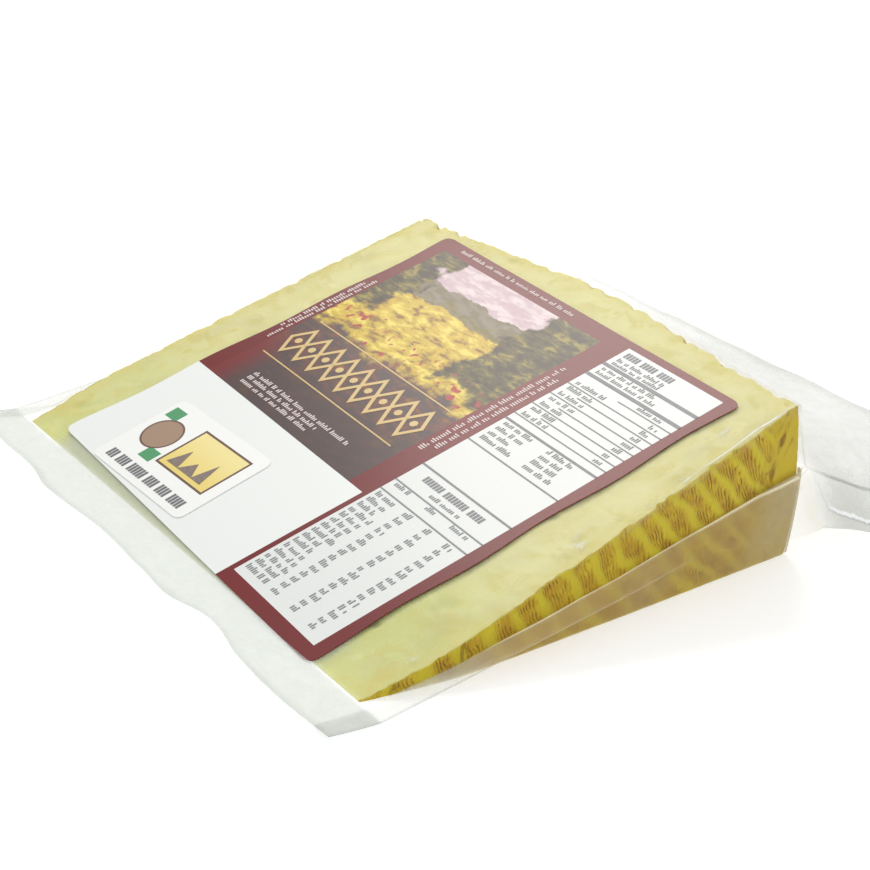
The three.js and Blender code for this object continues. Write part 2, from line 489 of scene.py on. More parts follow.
print("deepest crumb:", round(float(crumb.max()) / MM, 2), "mm")

# %% Soften the cut edges, and keep what the materials need
beside_edge = np.where(on_swept, to_cut, near_rind) < 0.9 * MM
beside_edge = beside_edge & (reach > 3 * MM)
on_chosen(cheese, "VERT", beside_edge, lambda: bpy.ops.mesh.vertices_smooth(factor=0.5, repeat=1))
print("edge points softened:", int(beside_edge.sum()))

keep_value(cheese, "to_rind", near_rind)
keep_value(cheese, "rim_share", rim_share)
keep_value(cheese, "wobble", wobble)
keep_value(cheese, "to_cut", to_cut)

# %% [markdown]
# ## Cheese and rind as materials
# The cut face is pale straw, a little greener where the wedge is thin and more yellow close
# to the rind, with a soft sheen because light goes a few millimetres into it. The rind is
# ochre: smooth yellow ribs, and brown strips full of fine dark strokes. Noise, moved about by
# more noise, keeps each strip from being a copy of the next.

# %% Material of the cut face
STRAW = rgb(227, 222, 166)
STRAW_DEEP = rgb(214, 205, 132)
STRAW_GREEN = rgb(204, 213, 140)
STRAW_PALE = rgb(238, 235, 196)
UNDER_RIND = rgb(158, 146, 60)


def wheel_place(look):
    """Object coordinates with their origin on the wheel's axis."""
    moved = look.add("ShaderNodeMapping", {"Vector": look.place(), "Location": (-AXIS_X, 0, 0)})
    split = look.add("ShaderNodeSeparateXYZ", {"Vector": moved.outputs[0]})
    return moved.outputs[0], split.outputs["X"], split.outputs["Y"], split.outputs["Z"]


def cut_face():
    look = Look("cheese_cut_face")
    where, x, _, _ = wheel_place(look)
    near_tip = look.step(x, 0.0, 45 * MM, 1.0, 0.0)
    green = look.calc("MULTIPLY", near_tip, look.noise(where, 18 * MM, 2.0))
    colour = look.mix(look.calc("MULTIPLY", green, 1.4, clamp=True), STRAW, STRAW_GREEN)
    blot = look.step(look.noise(where, 9 * MM, 4.0, 0.6), 0.45, 0.75)
    colour = look.mix(look.calc("MULTIPLY", blot, 0.45), colour, STRAW_DEEP)
    pale = look.step(look.noise(where, 6 * MM, 3.0, 0.5, 0.4), 0.58, 0.78)
    colour = look.mix(look.calc("MULTIPLY", pale, 0.3), colour, STRAW_PALE)
    wander = look.calc("MULTIPLY", look.noise(where, 3 * MM, 3.0), 1.2 * MM)
    edge = look.calc("ADD", look.value("to_rind"), wander)
    band = look.step(edge, 0.6 * MM, 5.5 * MM, 1.0, 0.0)
    colour = look.mix(look.calc("MULTIPLY", band, 0.55), colour, STRAW_DEEP)
    rim_zone = look.step(look.value("to_rind"), 2 * MM, 14 * MM, 0.8, 0.0)
    rim_blot = look.step(look.noise(where, 5 * MM, 4.0, 0.6, 0.5), 0.48, 0.64)
    colour = look.mix(look.calc("MULTIPLY", rim_zone, rim_blot), colour, STRAW_DEEP)
    line = look.step(edge, 0.3 * MM, 1.1 * MM, 1.0, 0.0)
    broken = look.step(look.noise(where, 4 * MM, 3.0, 0.6), 0.4, 0.6, 0.3, 0.95)
    colour = look.mix(look.calc("MULTIPLY", line, broken), colour, UNDER_RIND)
    grain = look.noise(where, 0.8 * MM, 4.0, 0.6)
    normal = look.bump(grain, 0.08 * MM)
    roughness = look.step(grain, 0.2, 0.8, 0.42, 0.6)
    shader = look.add("ShaderNodeBsdfPrincipled", {
        "Base Color": colour, "Roughness": roughness, "Normal": normal, "IOR": 1.45,
        "Specular IOR Level": 0.06, "Subsurface Weight": 0.25,
        "Subsurface Radius": (3 * MM, 2 * MM, 0.8 * MM), "Subsurface Scale": 1.0})
    return look.finish(shader.outputs[0])


# %% Material of the rind
RIB_YELLOW = rgb(198, 182, 46)
STRIP_BROWN = rgb(184, 146, 38)
STRIP_LIGHT = rgb(204, 176, 50)
STROKE_DARK = rgb(100, 58, 4)
SPOT_DARK = rgb(112, 66, 14)
PLAIN_OCHRE = rgb(188, 160, 40)
# Dark spots on the near face: distance from the axis, height and size, in millimetres.
DARK_SPOTS = ((6.4, 1.9, 1.5), (17.6, 3.2, 2.0), (88.0, 29.4, 0.8), (87.2, 24.6, 0.8),
              (86.0, 20.6, 1.4), (86.4, 17.6, 1.4), (84.0, 17.4, 1.2))


def ribs_and_strokes(look, where, x, z, ragged):
    """The flat faces: how much of a rib, of the plain zone and of a stroke each place is."""
    warp = look.value("wobble")
    lean = look.calc("MULTIPLY_ADD", look.calc("SUBTRACT", x, RIB_MIDDLE), RIB_LEAN_GAIN, RIB_LEAN)
    across = look.calc("ADD", look.calc("ADD", x, look.calc("MULTIPLY", lean, z)), warp)
    turns = look.calc("ADD", look.calc("DIVIDE", across, RIB_PITCH), RIB_SHIFT)
    away = look.calc("ABSOLUTE", look.calc("SUBTRACT", look.calc("FRACT", turns), 0.5))
    away = look.calc("MULTIPLY", away, RIB_PITCH * ACROSS_SHARE)
    rib = look.step(look.calc("ADD", away, ragged), RIB_HALF, RIB_HALF + RIB_SOFT, 1.0, 0.0)
    plain = look.step(look.calc("ADD", x, look.calc("MULTIPLY", warp, 2.0)), PLAIN_FROM, PLAIN_TO)
    in_strip = look.calc("SUBTRACT", look.calc("FRACT", look.calc("SUBTRACT", turns, 0.5)), 0.5)
    bend = look.calc("MULTIPLY", look.calc("MULTIPLY", in_strip, in_strip), -STROKE_BEND)
    lie = look.calc("ADD", look.calc("MULTIPLY_ADD", z, STROKE_LEAN, x), bend)
    jitter = look.calc("MULTIPLY", look.noise(where, 2.2 * MM, 2.0), 1.3 * MM)
    stroke = look.wave(look.calc("DIVIDE", look.calc("ADD", lie, jitter), STROKE_PITCH))
    return look.calc("MAXIMUM", rib, plain), plain, stroke


def stitches(look, x, y, z):
    """The braided side: how much of a stitch each place is, and the fibres in the stitches."""
    arc = look.calc("MULTIPLY", look.calc("ARCTAN2", z, x), WHEEL_RADIUS)
    shifted = look.calc("ADD", y, look.calc("MULTIPLY", look.value("wobble"), BRAID_WOBBLE))
    row = look.calc("ADD", look.calc("DIVIDE", shifted, BRAID_ROW), 100.0)
    in_row = look.calc("FRACT", row)
    parity = look.calc("FRACT", look.calc("MULTIPLY", look.calc("FLOOR", row), 0.5))
    lean = look.calc("MULTIPLY_ADD", look.calc("GREATER_THAN", parity, 0.25), -2.0, 1.0)
    slant = look.calc("MULTIPLY", look.calc("MULTIPLY", lean, in_row), BRAID_SLANT * BRAID_ROW)
    turns = look.calc("DIVIDE", look.calc("ADD", arc, slant), BRAID_PITCH)
    seam = look.step(look.calc("MINIMUM", in_row, look.calc("SUBTRACT", 1.0, in_row)), 0.0, 0.12)
    return look.calc("MULTIPLY", look.calc("SQRT", look.wave(turns)), seam), look.wave(turns, 4)


def stained(look, colour, where, x, y, z, plain):
    """The colour with upright dark streaks, brown stains and the dark spots laid over it."""
    upright = look.stretched(where, (1.0, 1.0, 0.45))
    streak = look.step(look.noise(upright, 1.7 * MM, 4.0, 0.65, 1.2), 0.56, 0.7)
    streak = look.calc("MULTIPLY", streak, look.calc("MAXIMUM", plain, 0.25))
    colour = look.mix(look.calc("MULTIPLY", streak, 0.6), colour, STROKE_DARK)
    stain = look.step(look.noise(where, 6 * MM, 5.0, 0.7, 0.8), 0.58, 0.72)
    colour = look.mix(look.calc("MULTIPLY", stain, 0.55), colour, STRIP_BROWN)
    streaky = look.noise(upright, 1.5 * MM, 4.0, 0.65, 0.6)
    for spot_x, spot_z, spot_size in DARK_SPOTS:
        far_z = look.calc("MULTIPLY", look.calc("SUBTRACT", z, spot_z * MM), 0.6)
        far = look.length(look.calc("SUBTRACT", x, spot_x * MM), far_z)
        far = look.calc("ADD", far, look.sway(streaky, 9 * MM))
        spot = look.step(far, -1.2 * spot_size * MM, 1.8 * spot_size * MM, 0.75, 0.0)
        spot = look.calc("MULTIPLY", spot, look.step(streaky, 0.38, 0.56, 1.0, 0.3))
        spot = look.calc("MULTIPLY", spot, look.calc("LESS_THAN", y, 0.0))
        colour = look.mix(spot, colour, SPOT_DARK)
    return colour


# %% Put the rind together
def rind():
    look = Look("rind")
    where, x, y, z = wheel_place(look)
    ragged = look.sway(look.noise(where, 1.1 * MM, 3.0), 0.9 * MM)
    rib, plain, stroke = ribs_and_strokes(look, where, x, z, ragged)
    stitch, fibre = stitches(look, x, y, z)
    on_side = look.value("rim_share")
    on_flat = look.calc("SUBTRACT", 1.0, on_side)
    high = look.calc("ADD", look.calc("MULTIPLY", rib, on_flat),
                     look.calc("MULTIPLY", stitch, on_side))
    fine = look.calc("ADD", look.calc("MULTIPLY", stroke, on_flat),
                     look.calc("MULTIPLY", fibre, on_side))
    # Colours: strips first, strokes into them, ribs over them, then stains.
    mottle = look.noise(where, 3.5 * MM, 4.0, 0.6, 0.5)
    colour = look.mix(look.step(mottle, 0.35, 0.7), STRIP_BROWN, STRIP_LIGHT)
    force = look.step(look.noise(where, 1.8 * MM, 3.0, 0.6), 0.4, 0.62, 0.15, 1.0)
    dark = look.calc("MULTIPLY", look.step(fine, 0.5, 1.0), force)
    colour = look.mix(look.calc("MULTIPLY", dark, 0.8), colour, STROKE_DARK)
    colour = look.mix(look.calc("MULTIPLY", high, 0.88), colour, RIB_YELLOW)
    fresh = look.step(look.calc("ADD", look.value("to_cut"), ragged), 0.1 * MM, 0.9 * MM, 0.5, 0.0)
    colour = look.mix(fresh, colour, RIB_YELLOW)
    colour = look.mix(look.calc("MULTIPLY", plain, 0.6), colour, PLAIN_OCHRE)
    colour = stained(look, colour, where, x, y, z, plain)
    height = look.calc("MULTIPLY_ADD", fine, -0.6, look.calc("MULTIPLY", mottle, 0.5))
    height = look.calc("MULTIPLY", height, look.calc("MULTIPLY_ADD", high, -0.8, 1.0))
    shader = look.add("ShaderNodeBsdfPrincipled", {
        "Base Color": colour, "Roughness": look.step(mottle, 0.3, 0.7, 0.5, 0.68),
        "Normal": look.bump(height, 0.22 * MM), "IOR": 1.45, "Specular IOR Level": 0.15,
        "Subsurface Weight": 0.1, "Subsurface Radius": (1.5 * MM, 0.8 * MM, 0.3 * MM),
        "Subsurface Scale": 1.0})
    return look.finish(shader.outputs[0])


# %% Colour the cheese
cheese.data.materials.append(cut_face())
cheese.data.materials.append(rind())
cheese.data.polygons.foreach_set("material_index", is_rind.astype(np.int32))
smooth_by_angle(cheese, 50)
print("cheese finished with", [m.name for m in cheese.data.materials])

# %% [markdown]
# ## The film: two webs pulled tight
# The pouch is two webs of film, one from above and one from below, drawn onto the cheese by
# vacuum and sealed together in a flat flange all round. Each web was one flat sheet, so each
# is made from one flat grid. Counting from the middle, the grid's rows belong to the cut
# face, then to the wall, then to the flange, and every point is moved to where its row and
# column say. At a corner, rows and columns fan out around it, as spare film does. The two
# webs are then merged along their outer edge into one closed skin. Cloth simulation could
# shrink a sheet onto the cheese, but film under vacuum leaves no loose folds to simulate.

# %% Measures of the film
# Columns and rows count the grid's steps in each part. Tent is how far the film stands off the
# rind, bridge how far it stands off the rim's corner, and bead the ridge where the webs part.
APEX_COLUMNS, FACE_COLUMNS, WALL_STEPS, END_COLUMNS = 12, 124, 24, 34
FACE_ROWS, SIDE_ROWS = 88, 20
WEB_COLUMNS = APEX_COLUMNS + FACE_COLUMNS + WALL_STEPS + END_COLUMNS
WEB_ROWS = FACE_ROWS + 2 * (WALL_STEPS + SIDE_ROWS)
CORNER_ROUND = 1.2 * MM
FILM_CLEAR = 0.02 * MM
TENT_LOW, TENT_TIP, TENT_REACH = 0.25 * MM, 1.7 * MM, 7 * MM
BRIDGE_UPPER, BRIDGE_LOWER, BRIDGE_FROM = 2.4 * MM, 0.8 * MM, 14 * MM
BEAD_HEIGHT, BEAD_WIDTH = 0.22 * MM, 0.2 * MM
BEAD_AT, SECOND_BEAD_AT = 0.3 * MM, 1.15 * MM
POUCH_REACH = -POUCH_APEX
FOOT_X, FOOT_Y = 93 * MM, 53 * MM
print("points in a web:", (WEB_COLUMNS + 1) * (WEB_ROWS + 1))


# %% The height of the flange
def seam_height(x, y):
    """Height of the middle of the flange above the floor."""
    flat = FLANGE_REST
    apex_lift = APEX_LIFT * np.clip(-x / POUCH_REACH, 0, 1.3) ** 1.5 * (
        0.5 + 0.5 * np.sin(160 * y + 0.7 * np.sin(70 * y + 1.1)))

    def climb(px):
        rise = SEAM_SLOPE * px + SEAM_RISE * smoothstep(px, 0.45 * WHEEL_RADIUS, 0.9 * WHEEL_RADIUS)
        droop = smoothstep(np.abs(y), WHEEL_HEIGHT / 2, POUCH_SIDE)
        return rise - SIDE_DROOP * droop * smoothstep(px, 0.6 * WHEEL_RADIUS, WHEEL_RADIUS)

    fall = np.clip((x - WHEEL_RADIUS) / END_FALL, 0, 1)
    ripple = END_RIPPLE * np.sin(TAU * y / END_RIPPLE_LENGTH + 3 * fall) * np.sin(0.5 * TAU * fall)
    start = climb(WHEEL_RADIUS)
    crest = start * (1 - END_SAG * np.clip((x - WHEEL_RADIUS) / (POUCH_END - WHEEL_RADIUS), 0, 1))
    edge = start * (1 - fall) ** 1.08
    behind = crest + (edge - crest) * smoothstep(np.abs(y), END_CREST, POUCH_SIDE) + ripple
    along_side = np.where(x <= WHEEL_RADIUS, climb(np.clip(x, 0, WHEEL_RADIUS)), behind)
    return flat + np.where(x <= 0, apex_lift, np.maximum(0, along_side))


def crumple(x, y):
    """Small folds in the flange, the same in both webs."""
    places = np.stack([x, y, 0 * x], 1)
    broad = grow_noise(places, 13 * MM, 21.0)
    sharp = 1 - 2 * np.abs(grow_noise(places, 9 * MM, 33.0))
    return broad, sharp


def web_level(x, y, upper):
    """Height of the flange's upper or lower web."""
    return seam_height(x, y) + (FLANGE_THICKNESS / 2 if upper else -FLANGE_THICKNESS / 2)


# %% What a point's row and column say
def read_grid(web):
    """For each point, how far on it is in the apex, the face, the wall and the flange."""
    g = SimpleNamespace()
    flat = points_of(web)
    column = np.rint((flat[:, 0] + 0.5) * WEB_COLUMNS)
    row = np.rint(flat[:, 1] * WEB_ROWS)
    g.side = np.where(row < 0, -1.0, 1.0)
    row = np.abs(row)
    g.apex = np.clip((APEX_COLUMNS - column) / APEX_COLUMNS, 0, 1)
    g.out = np.clip((column - APEX_COLUMNS) / FACE_COLUMNS, 0, 1)
    g.across = crowd(np.clip(row / (FACE_ROWS / 2), 0, 1), 0.4)
    past = column - APEX_COLUMNS - FACE_COLUMNS
    rim_stage = np.clip(past / WALL_STEPS, 0, 1) + np.clip((past - WALL_STEPS) / END_COLUMNS, 0, 1)
    past = row - FACE_ROWS / 2
    side_stage = np.clip(past / WALL_STEPS, 0, 1) + np.clip((past - WALL_STEPS) / SIDE_ROWS, 0, 1)
    g.beyond_rim, g.beyond_side = rim_stage > 0, side_stage > 0
    g.stage = np.maximum(rim_stage, side_stage)
    g.wall = np.clip(g.stage, 0, 1) ** 1.15
    g.flange = np.clip(g.stage - 1, 0, 1) ** 1.5
    # Round a corner the fan goes from 0 at the side to 1 at the rim.
    safe = np.maximum(g.stage, 1e-9)
    fan = np.where(rim_stage >= side_stage, 1 - 0.5 * side_stage / safe, 0.5 * rim_stage / safe)
    g.fan = np.where(g.stage > 0, fan, 0.5)
    g.around = 0.25 * TAU * g.fan
    return g


# %% Face and wall: tight on the cheese
def wrap_cheese(g, upper):
    """Places of the face and the wall. A wall point's height decides how far out it stands."""
    tip = TIP_THICKNESS - FILM_CLEAR if upper else FILM_CLEAR
    slope = math.tan(WEDGE_ANGLE) if upper else 0.0
    y = g.across * WHEEL_HEIGHT / 2
    x = g.out * side_radius(y)
    z = tip + slope * x
    for _ in range(4):
        rim_x = np.sqrt(np.maximum(side_radius(y) ** 2 - z ** 2, 0))
        high = half_height(np.hypot(x, z))
        core_x, core_y = g.out * (rim_x - CORNER_ROUND), g.across * (high - CORNER_ROUND)
        wall_x = core_x + CORNER_ROUND * np.sin(g.around) * g.beyond_rim
        wall_y = np.where(g.beyond_side, core_y + CORNER_ROUND * np.cos(g.around), g.across * high)
        face_x, face_y = g.out * rim_x, g.across * high
        over_x = np.maximum(face_x - (rim_x - CORNER_ROUND), 0)
        over_y = np.maximum(face_y - (high - CORNER_ROUND), 0)
        pull = np.maximum(over_x, over_y) / np.maximum(np.hypot(over_x, over_y), 1e-9)
        pull = np.where((over_x > 0) & (over_y > 0), pull, 1)
        x = np.where(g.stage > 0, wall_x, face_x - over_x * (1 - pull))
        y = np.where(g.stage > 0, wall_y, face_y - over_y * (1 - pull))
        seam = np.maximum(web_level(np.maximum(x, 0), g.side * y, upper), FILM_CLEAR)
        top = tip + slope * x
        z = top + (seam - top) * g.wall
    # The film tents a little off the rind, and bridges the rear corner from rim to seam.
    y = y + (TENT_LOW + TENT_TIP * np.exp(-x / TENT_REACH)) * g.wall * g.beyond_side
    bridge = BRIDGE_UPPER * g.wall ** 1.4 if upper else BRIDGE_LOWER * g.wall
    bridge = bridge * smoothstep(x, WHEEL_RADIUS - BRIDGE_FROM, WHEEL_RADIUS)
    bridge = bridge * (0.35 + 0.65 * g.across ** 6)
    x = x + bridge * np.sin(g.around) * g.beyond_rim
    y = y + 0.3 * bridge * np.cos(g.around) * g.beyond_side
    return x, y, z


# %% Flange and apex: flat, out to the pouch's edges
def spread_flange(g, x, y, z, upper):
    """Draws the flange straight from the wall's foot to the outer edge, alike in both webs."""
    first_half, second_half = np.clip(2 * g.fan, 0, 1), np.clip(2 * g.fan - 1, 0, 1)
    goal_x = g.out * FOOT_X + (POUCH_END - FOOT_X) * first_half * g.beyond_rim
    goal_y = POUCH_SIDE + (FOOT_Y - POUCH_SIDE) * second_half
    goal_y = np.where(g.beyond_side, goal_y, g.across * FOOT_Y)
    x = x + (goal_x - x) * g.flange
    y = y + (goal_y - y) * g.flange
    # At the apex the rows run straight on past the thin edge, to a slightly wavy end.
    row_y = g.across * FOOT_Y + (g.wall * 0.4 + g.flange * 0.6) * (POUCH_SIDE - FOOT_Y)
    y = np.where(g.apex > 0, y + (row_y - y) * g.apex, y)
    edge_wave = 1 + 0.1 * np.sin(95 * g.side * y + 0.6) + 0.05 * np.sin(310 * g.side * y)
    x = np.where(g.apex > 0, -g.apex * POUCH_REACH * np.minimum(edge_wave, 1.0), x)
    y = g.side * y
    level = web_level(x, y, upper)
    z = np.where(g.apex > 0, z + (level - z) * smoothstep(g.apex, 0, 0.25), z)
    return x, y, np.where(g.flange > 0, level, z)


# %% Folds, the bead where the webs part, and the closed outer edge
def fold_film(g, x, y, z, start_x, start_y, upper):
    """Heights with folds and bead; start_x and start_y are where the flange leaves the wall."""
    broad, sharp = crumple(x, y)
    g.end = smoothstep(x, WHEEL_RADIUS - 6 * MM, WHEEL_RADIUS + 10 * MM)
    free = np.minimum(smoothstep(g.flange, 0, 0.3) + g.apex, 1)
    settled = smoothstep(seam_height(x, y), 0.3 * MM, 3 * MM)
    fold = (0.12 + 0.5 * g.end) * MM * broad + (0.05 + 0.06 * g.end) * MM * sharp
    crease = np.sin(TAU * 2.5 * g.fan + 1.0) * np.sin(0.5 * TAU * np.clip(g.fan, 0, 1))
    crease = crease * g.beyond_rim * g.beyond_side
    fold = fold + 0.5 * MM * crease * smoothstep(g.flange, 0, 0.25) * (1 - 0.6 * g.flange)
    fold = fold * free * (0.25 + 0.75 * settled)
    outside = np.hypot(x - start_x, np.abs(y) - start_y)
    drift = 0.3 * MM * grow_noise(np.stack([x, 0 * x, 0 * x], 1), 9 * MM, 27.0)
    bead = np.exp(-((outside - BEAD_AT - drift) / BEAD_WIDTH) ** 2)
    bead = bead + 0.12 * np.exp(-((outside - SECOND_BEAD_AT + drift) / BEAD_WIDTH) ** 2)
    bead = bead * (g.flange > 0) * (1 - 0.8 * g.beyond_rim)
    g.bead = bead * smoothstep(start_x, 12 * MM, 30 * MM)
    z = z + fold + (BEAD_HEIGHT if upper else -0.3 * BEAD_HEIGHT) * g.bead
    g.outermost = (g.flange >= 1) | (g.apex >= 1)
    z = np.where(g.outermost, seam_height(x, y) + fold, z)
    least = FILM_CLEAR + (0.12 * MM if upper else 0) * ~g.outermost
    return np.clip(z, least, bag_high.z - FILM_CLEAR)


# %% [markdown]
# ## How milky the film is
# Film that is drawn tight is clear, and film that is sealed to film is frosted. Below the seam
# it clings to the moist rind in small folds and is cloudy, and its brown there is painted shade:
# it stands in for shade and for light bounced off the rind. This follows the parts of the pouch
# and not a pattern in space, so it is worked out for each point from its row and column, and kept
# on the points. The numbers are: haze, how much of the light is scattered; tint, how much painted
# brown shade; grey, how much painted shadow grey, which also calms the film's bumps; seam, how
# near the bead, where a cream painted highlight lies; to_edge, how far inside the cheese's edge;
# outermost, 1 on the pouch's outer edge.

# %% Numbers for the film's material
def keep_milk(web, g, x, y, z, upper):
    """Works out the numbers from the face outwards, and keeps them on the points."""
    spots = grow_noise(np.stack([x, y, z], 1), 8 * MM, 15.0)
    clouds = grow_noise(np.stack([x, y, 0.5 * z], 1), 14 * MM, 51.0)
    on_face = (g.stage == 0) & (g.apex == 0) & upper
    over_rind = smoothstep(x, 20 * MM, 60 * MM)
    # The face: clear, with glints beside the long edges and milk at the thin tip.
    glints = np.clip(grow_noise(np.stack([0.35 * x, y, z], 1), 4.5 * MM, 62.0), 0, 1)
    beside = 1 - smoothstep(half_height(x) - np.abs(y), 6 * MM, 15 * MM)
    haze = 0.02 * np.clip(spots, 0, 1) + 0.3 * glints * beside * upper
    tip_milk = 0.8 * (1 - smoothstep(x, 4 * MM, 9 * MM))
    tip_milk = tip_milk * (1 - smoothstep(np.abs(y), 39 * MM, 45 * MM))
    haze = np.where(on_face, np.maximum(haze, tip_milk), haze)
    # The wall: a veil at the rim above the seam, and cloudy below it.
    streak = np.clip(0.5 + 1.2 * grow_noise(np.stack([x, 0 * x, 0 * x], 1), 8 * MM, 44.0), 0, 1)
    rim_veil = 0.3 * (1 - smoothstep(g.stage, 0.02, 0.3)) * over_rind * streak
    low_wall = (0.58 + 0.3 * clouds + 0.12 * spots) * smoothstep(x, 0, 25 * MM)
    haze = np.where(g.stage > 0, rim_veil if upper else low_wall, haze)
    # The flange: clearer along the near side than on the far side and at the empty end.
    side_flange = np.where(g.side > 0, 0.28, 0.2 - 0.175 * over_rind) + 0.03 * spots
    end_flange = 0.3 + 0.06 * np.clip(spots, -1, 1) + 0.12 * smoothstep(np.abs(y), 48 * MM, 56 * MM)
    end_flange = end_flange * (1 - 0.5 * smoothstep(y, -5 * MM, 35 * MM))
    haze = np.where(g.flange > 0, side_flange + (end_flange - side_flange) * g.end, haze)
    # The bead, frosted and with a painted highlight on it, a fold at each rear corner, the frosted
    # apex and the outer edge.
    bead = g.bead * (1.0 if upper else 0.25)
    haze = haze + 0.9 * bead * (1 - 0.6 * g.end)
    corner_wall = g.beyond_rim & g.beyond_side & (g.stage < 1)
    corner_fold = np.exp(-((g.fan - 0.5) / 0.14) ** 2) * smoothstep(g.stage, 0.05, 0.3)
    haze = np.where(g.apex > 0, 0.5, haze + 0.3 * corner_wall * corner_fold)
    clearing = 0.9 * smoothstep(x, 50 * MM, 68 * MM) * (x < WHEEL_RADIUS)
    side_line = smoothstep(g.flange, 0.88, 1.0) * (1 - clearing)
    rim_line = side_line + smoothstep(g.apex, 0.85, 1.0)
    haze = haze + 0.32 * rim_line * (1 - 0.5 * g.end)
    # Painted shade: brown over the rind, standing in for shade and light bounced off it, except on
    # the bead and the outer line.
    over_cheese = (x < WHEEL_RADIUS) | (g.flange == 0)
    tint = (g.stage > 0) * over_cheese * np.where((g.flange > 0) | (not upper), 1.0, 0.7)
    tint = tint * ((g.side < 0) | (g.flange == 0)) * smoothstep(x, 8 * MM, 30 * MM)
    tint = tint * (1 - 0.8 * np.clip(bead, 0, 1) - 0.5 * side_line)
    tint = tint * (1 - 0.35 * smoothstep(x, 80 * MM, 90 * MM))
    # Painted shadow: the flange is painted grey for the shadow under it, fully at the empty end, 0.6
    # on the far side, and on the near side towards the thin tip.
    shadow_grey = np.maximum(g.end, np.where(g.side > 0, 0.6, 0.8 - 0.8 * over_rind))
    keep_value(web, "haze", np.clip(haze, 0, 0.92))
    # Painted shade: tint is how much of the brown shade the film gets.
    keep_value(web, "tint", np.clip(tint, 0, 1))
    keep_value(web, "grey", shadow_grey * (g.flange > 0))
    # seam: where the bead's cream painted highlight goes.
    keep_value(web, "seam", np.clip(bead, 0, 1) * (1 - g.end))
    inward = half_height(np.hypot(x, z)) - np.abs(y)
    keep_value(web, "to_edge", np.where(on_face, inward, -0.2 * MM))
    keep_value(web, "outermost", g.outermost)


# %% Make both webs and close them into one skin
def make_web(name, upper):
    deselect()
    bpy.ops.mesh.primitive_grid_add(x_subdivisions=WEB_COLUMNS, y_subdivisions=WEB_ROWS, size=1)
    web = named(name)
    g = read_grid(web)
    start_x, start_y, z = wrap_cheese(g, upper)
    x, y, z = spread_flange(g, start_x, start_y, z, upper)
    z = fold_film(g, x, y, z, start_x, start_y, upper)
    move_points(web, np.stack([x, y, z], 1))
    keep_milk(web, g, x, y, z, upper)
    return web


film_parts = [make_web("film", True), make_web("film_lower", False)]
film = join("film", film_parts)
in_edit_mode(film, lambda: bpy.ops.mesh.remove_doubles(threshold=0.002 * MM),
             lambda: bpy.ops.mesh.normals_make_consistent(inside=False))
print("film:", len(film.data.polygons), "faces, reaches",
      [round(v, 4) for v in points_of(film).max(0)])

# %% [markdown]
# ## The film as a material
# Thin film neither bends nor darkens what lies behind it, so most of it is a transparent
# shader with a weak mirror that grows towards a grazing view. Where the haze says so, a milky
# shader is mixed in, half lit from the front and half from behind. Thin white lines are painted
# highlights along the cheese's upper edges, small white spots beside the near edge are painted
# glints, and a thin white line runs along the crease over the empty end from each rear corner.

# %% Painted highlights: white lines and glint spots
# The grey is painted shadow, and the brown is painted shade with light bounced off the rind.
MILK_WHITE, SHADOW_GREY, PAINTED_SHADE_BROWN = rgb(231, 234, 230), rgb(206, 209, 204), rgb(220, 200, 150)
# The cream is a painted highlight along the seam's bead, over the frosted seal.
SEAM_HIGHLIGHT_CREAM = rgb(255, 244, 208)
CREASE_AT = (99.5 * MM, 56.2 * MM)
CREASE_STEEP, CREASE_FLAT = 0.92, 0.065


def painted_edge_highlights(look, where, x, y, fine):
    """Painted highlights: white lines along the cheese's upper edges, and white glint spots beside
    the near one.
    """
    inward = look.value("to_edge")
    slow = look.calc("MULTIPLY_ADD", look.noise(where, 14 * MM, 2.0), 2.4 * MM, -0.4 * MM)
    painted_edge_line = look.calc("ABSOLUTE", look.calc("SUBTRACT", inward, slow))
    painted_edge_line = look.calc("MULTIPLY", look.step(painted_edge_line, 0.05 * MM, 0.4 * MM, 1.0, 0.0),
                    look.step(x, 48 * MM, 74 * MM))
    painted_edge_line = look.calc("MULTIPLY", painted_edge_line, look.step(fine, 0.35, 0.6, 0.45, 1.0))
    long_place = look.stretched(where, (0.45, 1.0, 1.0))
    painted_glint_spot = look.step(look.noise(long_place, 3.0 * MM, 2.0, 0.5), 0.6, 0.76)
    painted_glint_spot = look.calc("MULTIPLY", painted_glint_spot, look.step(inward, 0.4 * MM, 1.2 * MM))
    painted_glint_spot = look.calc("MULTIPLY", painted_glint_spot, look.step(inward, 4 * MM, 8 * MM, 1.0, 0.0))
    painted_glint_spot = look.calc("MULTIPLY", painted_glint_spot, look.calc("LESS_THAN", y, 0.0))
    return look.calc("MULTIPLY_ADD", painted_edge_line, 0.6, look.calc("MULTIPLY", painted_glint_spot, 0.5))


def end_crease(look, x, y, fine):
    """A crease over the empty end: steep up to CREASE_AT, and nearly along X from there."""
    past = look.calc("SUBTRACT", x, CREASE_AT[0])
    bow = look.calc("MINIMUM", look.calc("MULTIPLY_ADD", past, CREASE_STEEP, CREASE_AT[1]),
                    look.calc("MULTIPLY_ADD", past, CREASE_FLAT, CREASE_AT[1]))
    bow = look.calc("ADD", bow, look.sway(fine, 0.8 * MM))
    away = look.calc("ABSOLUTE", look.calc("SUBTRACT", look.calc("ABSOLUTE", y), bow))
    return look.calc("MULTIPLY", look.step(away, 0.08 * MM, 0.36 * MM, 1.0, 0.0),
                     look.step(x, CREASE_AT[0] - 4 * MM, CREASE_AT[0] + 2 * MM))


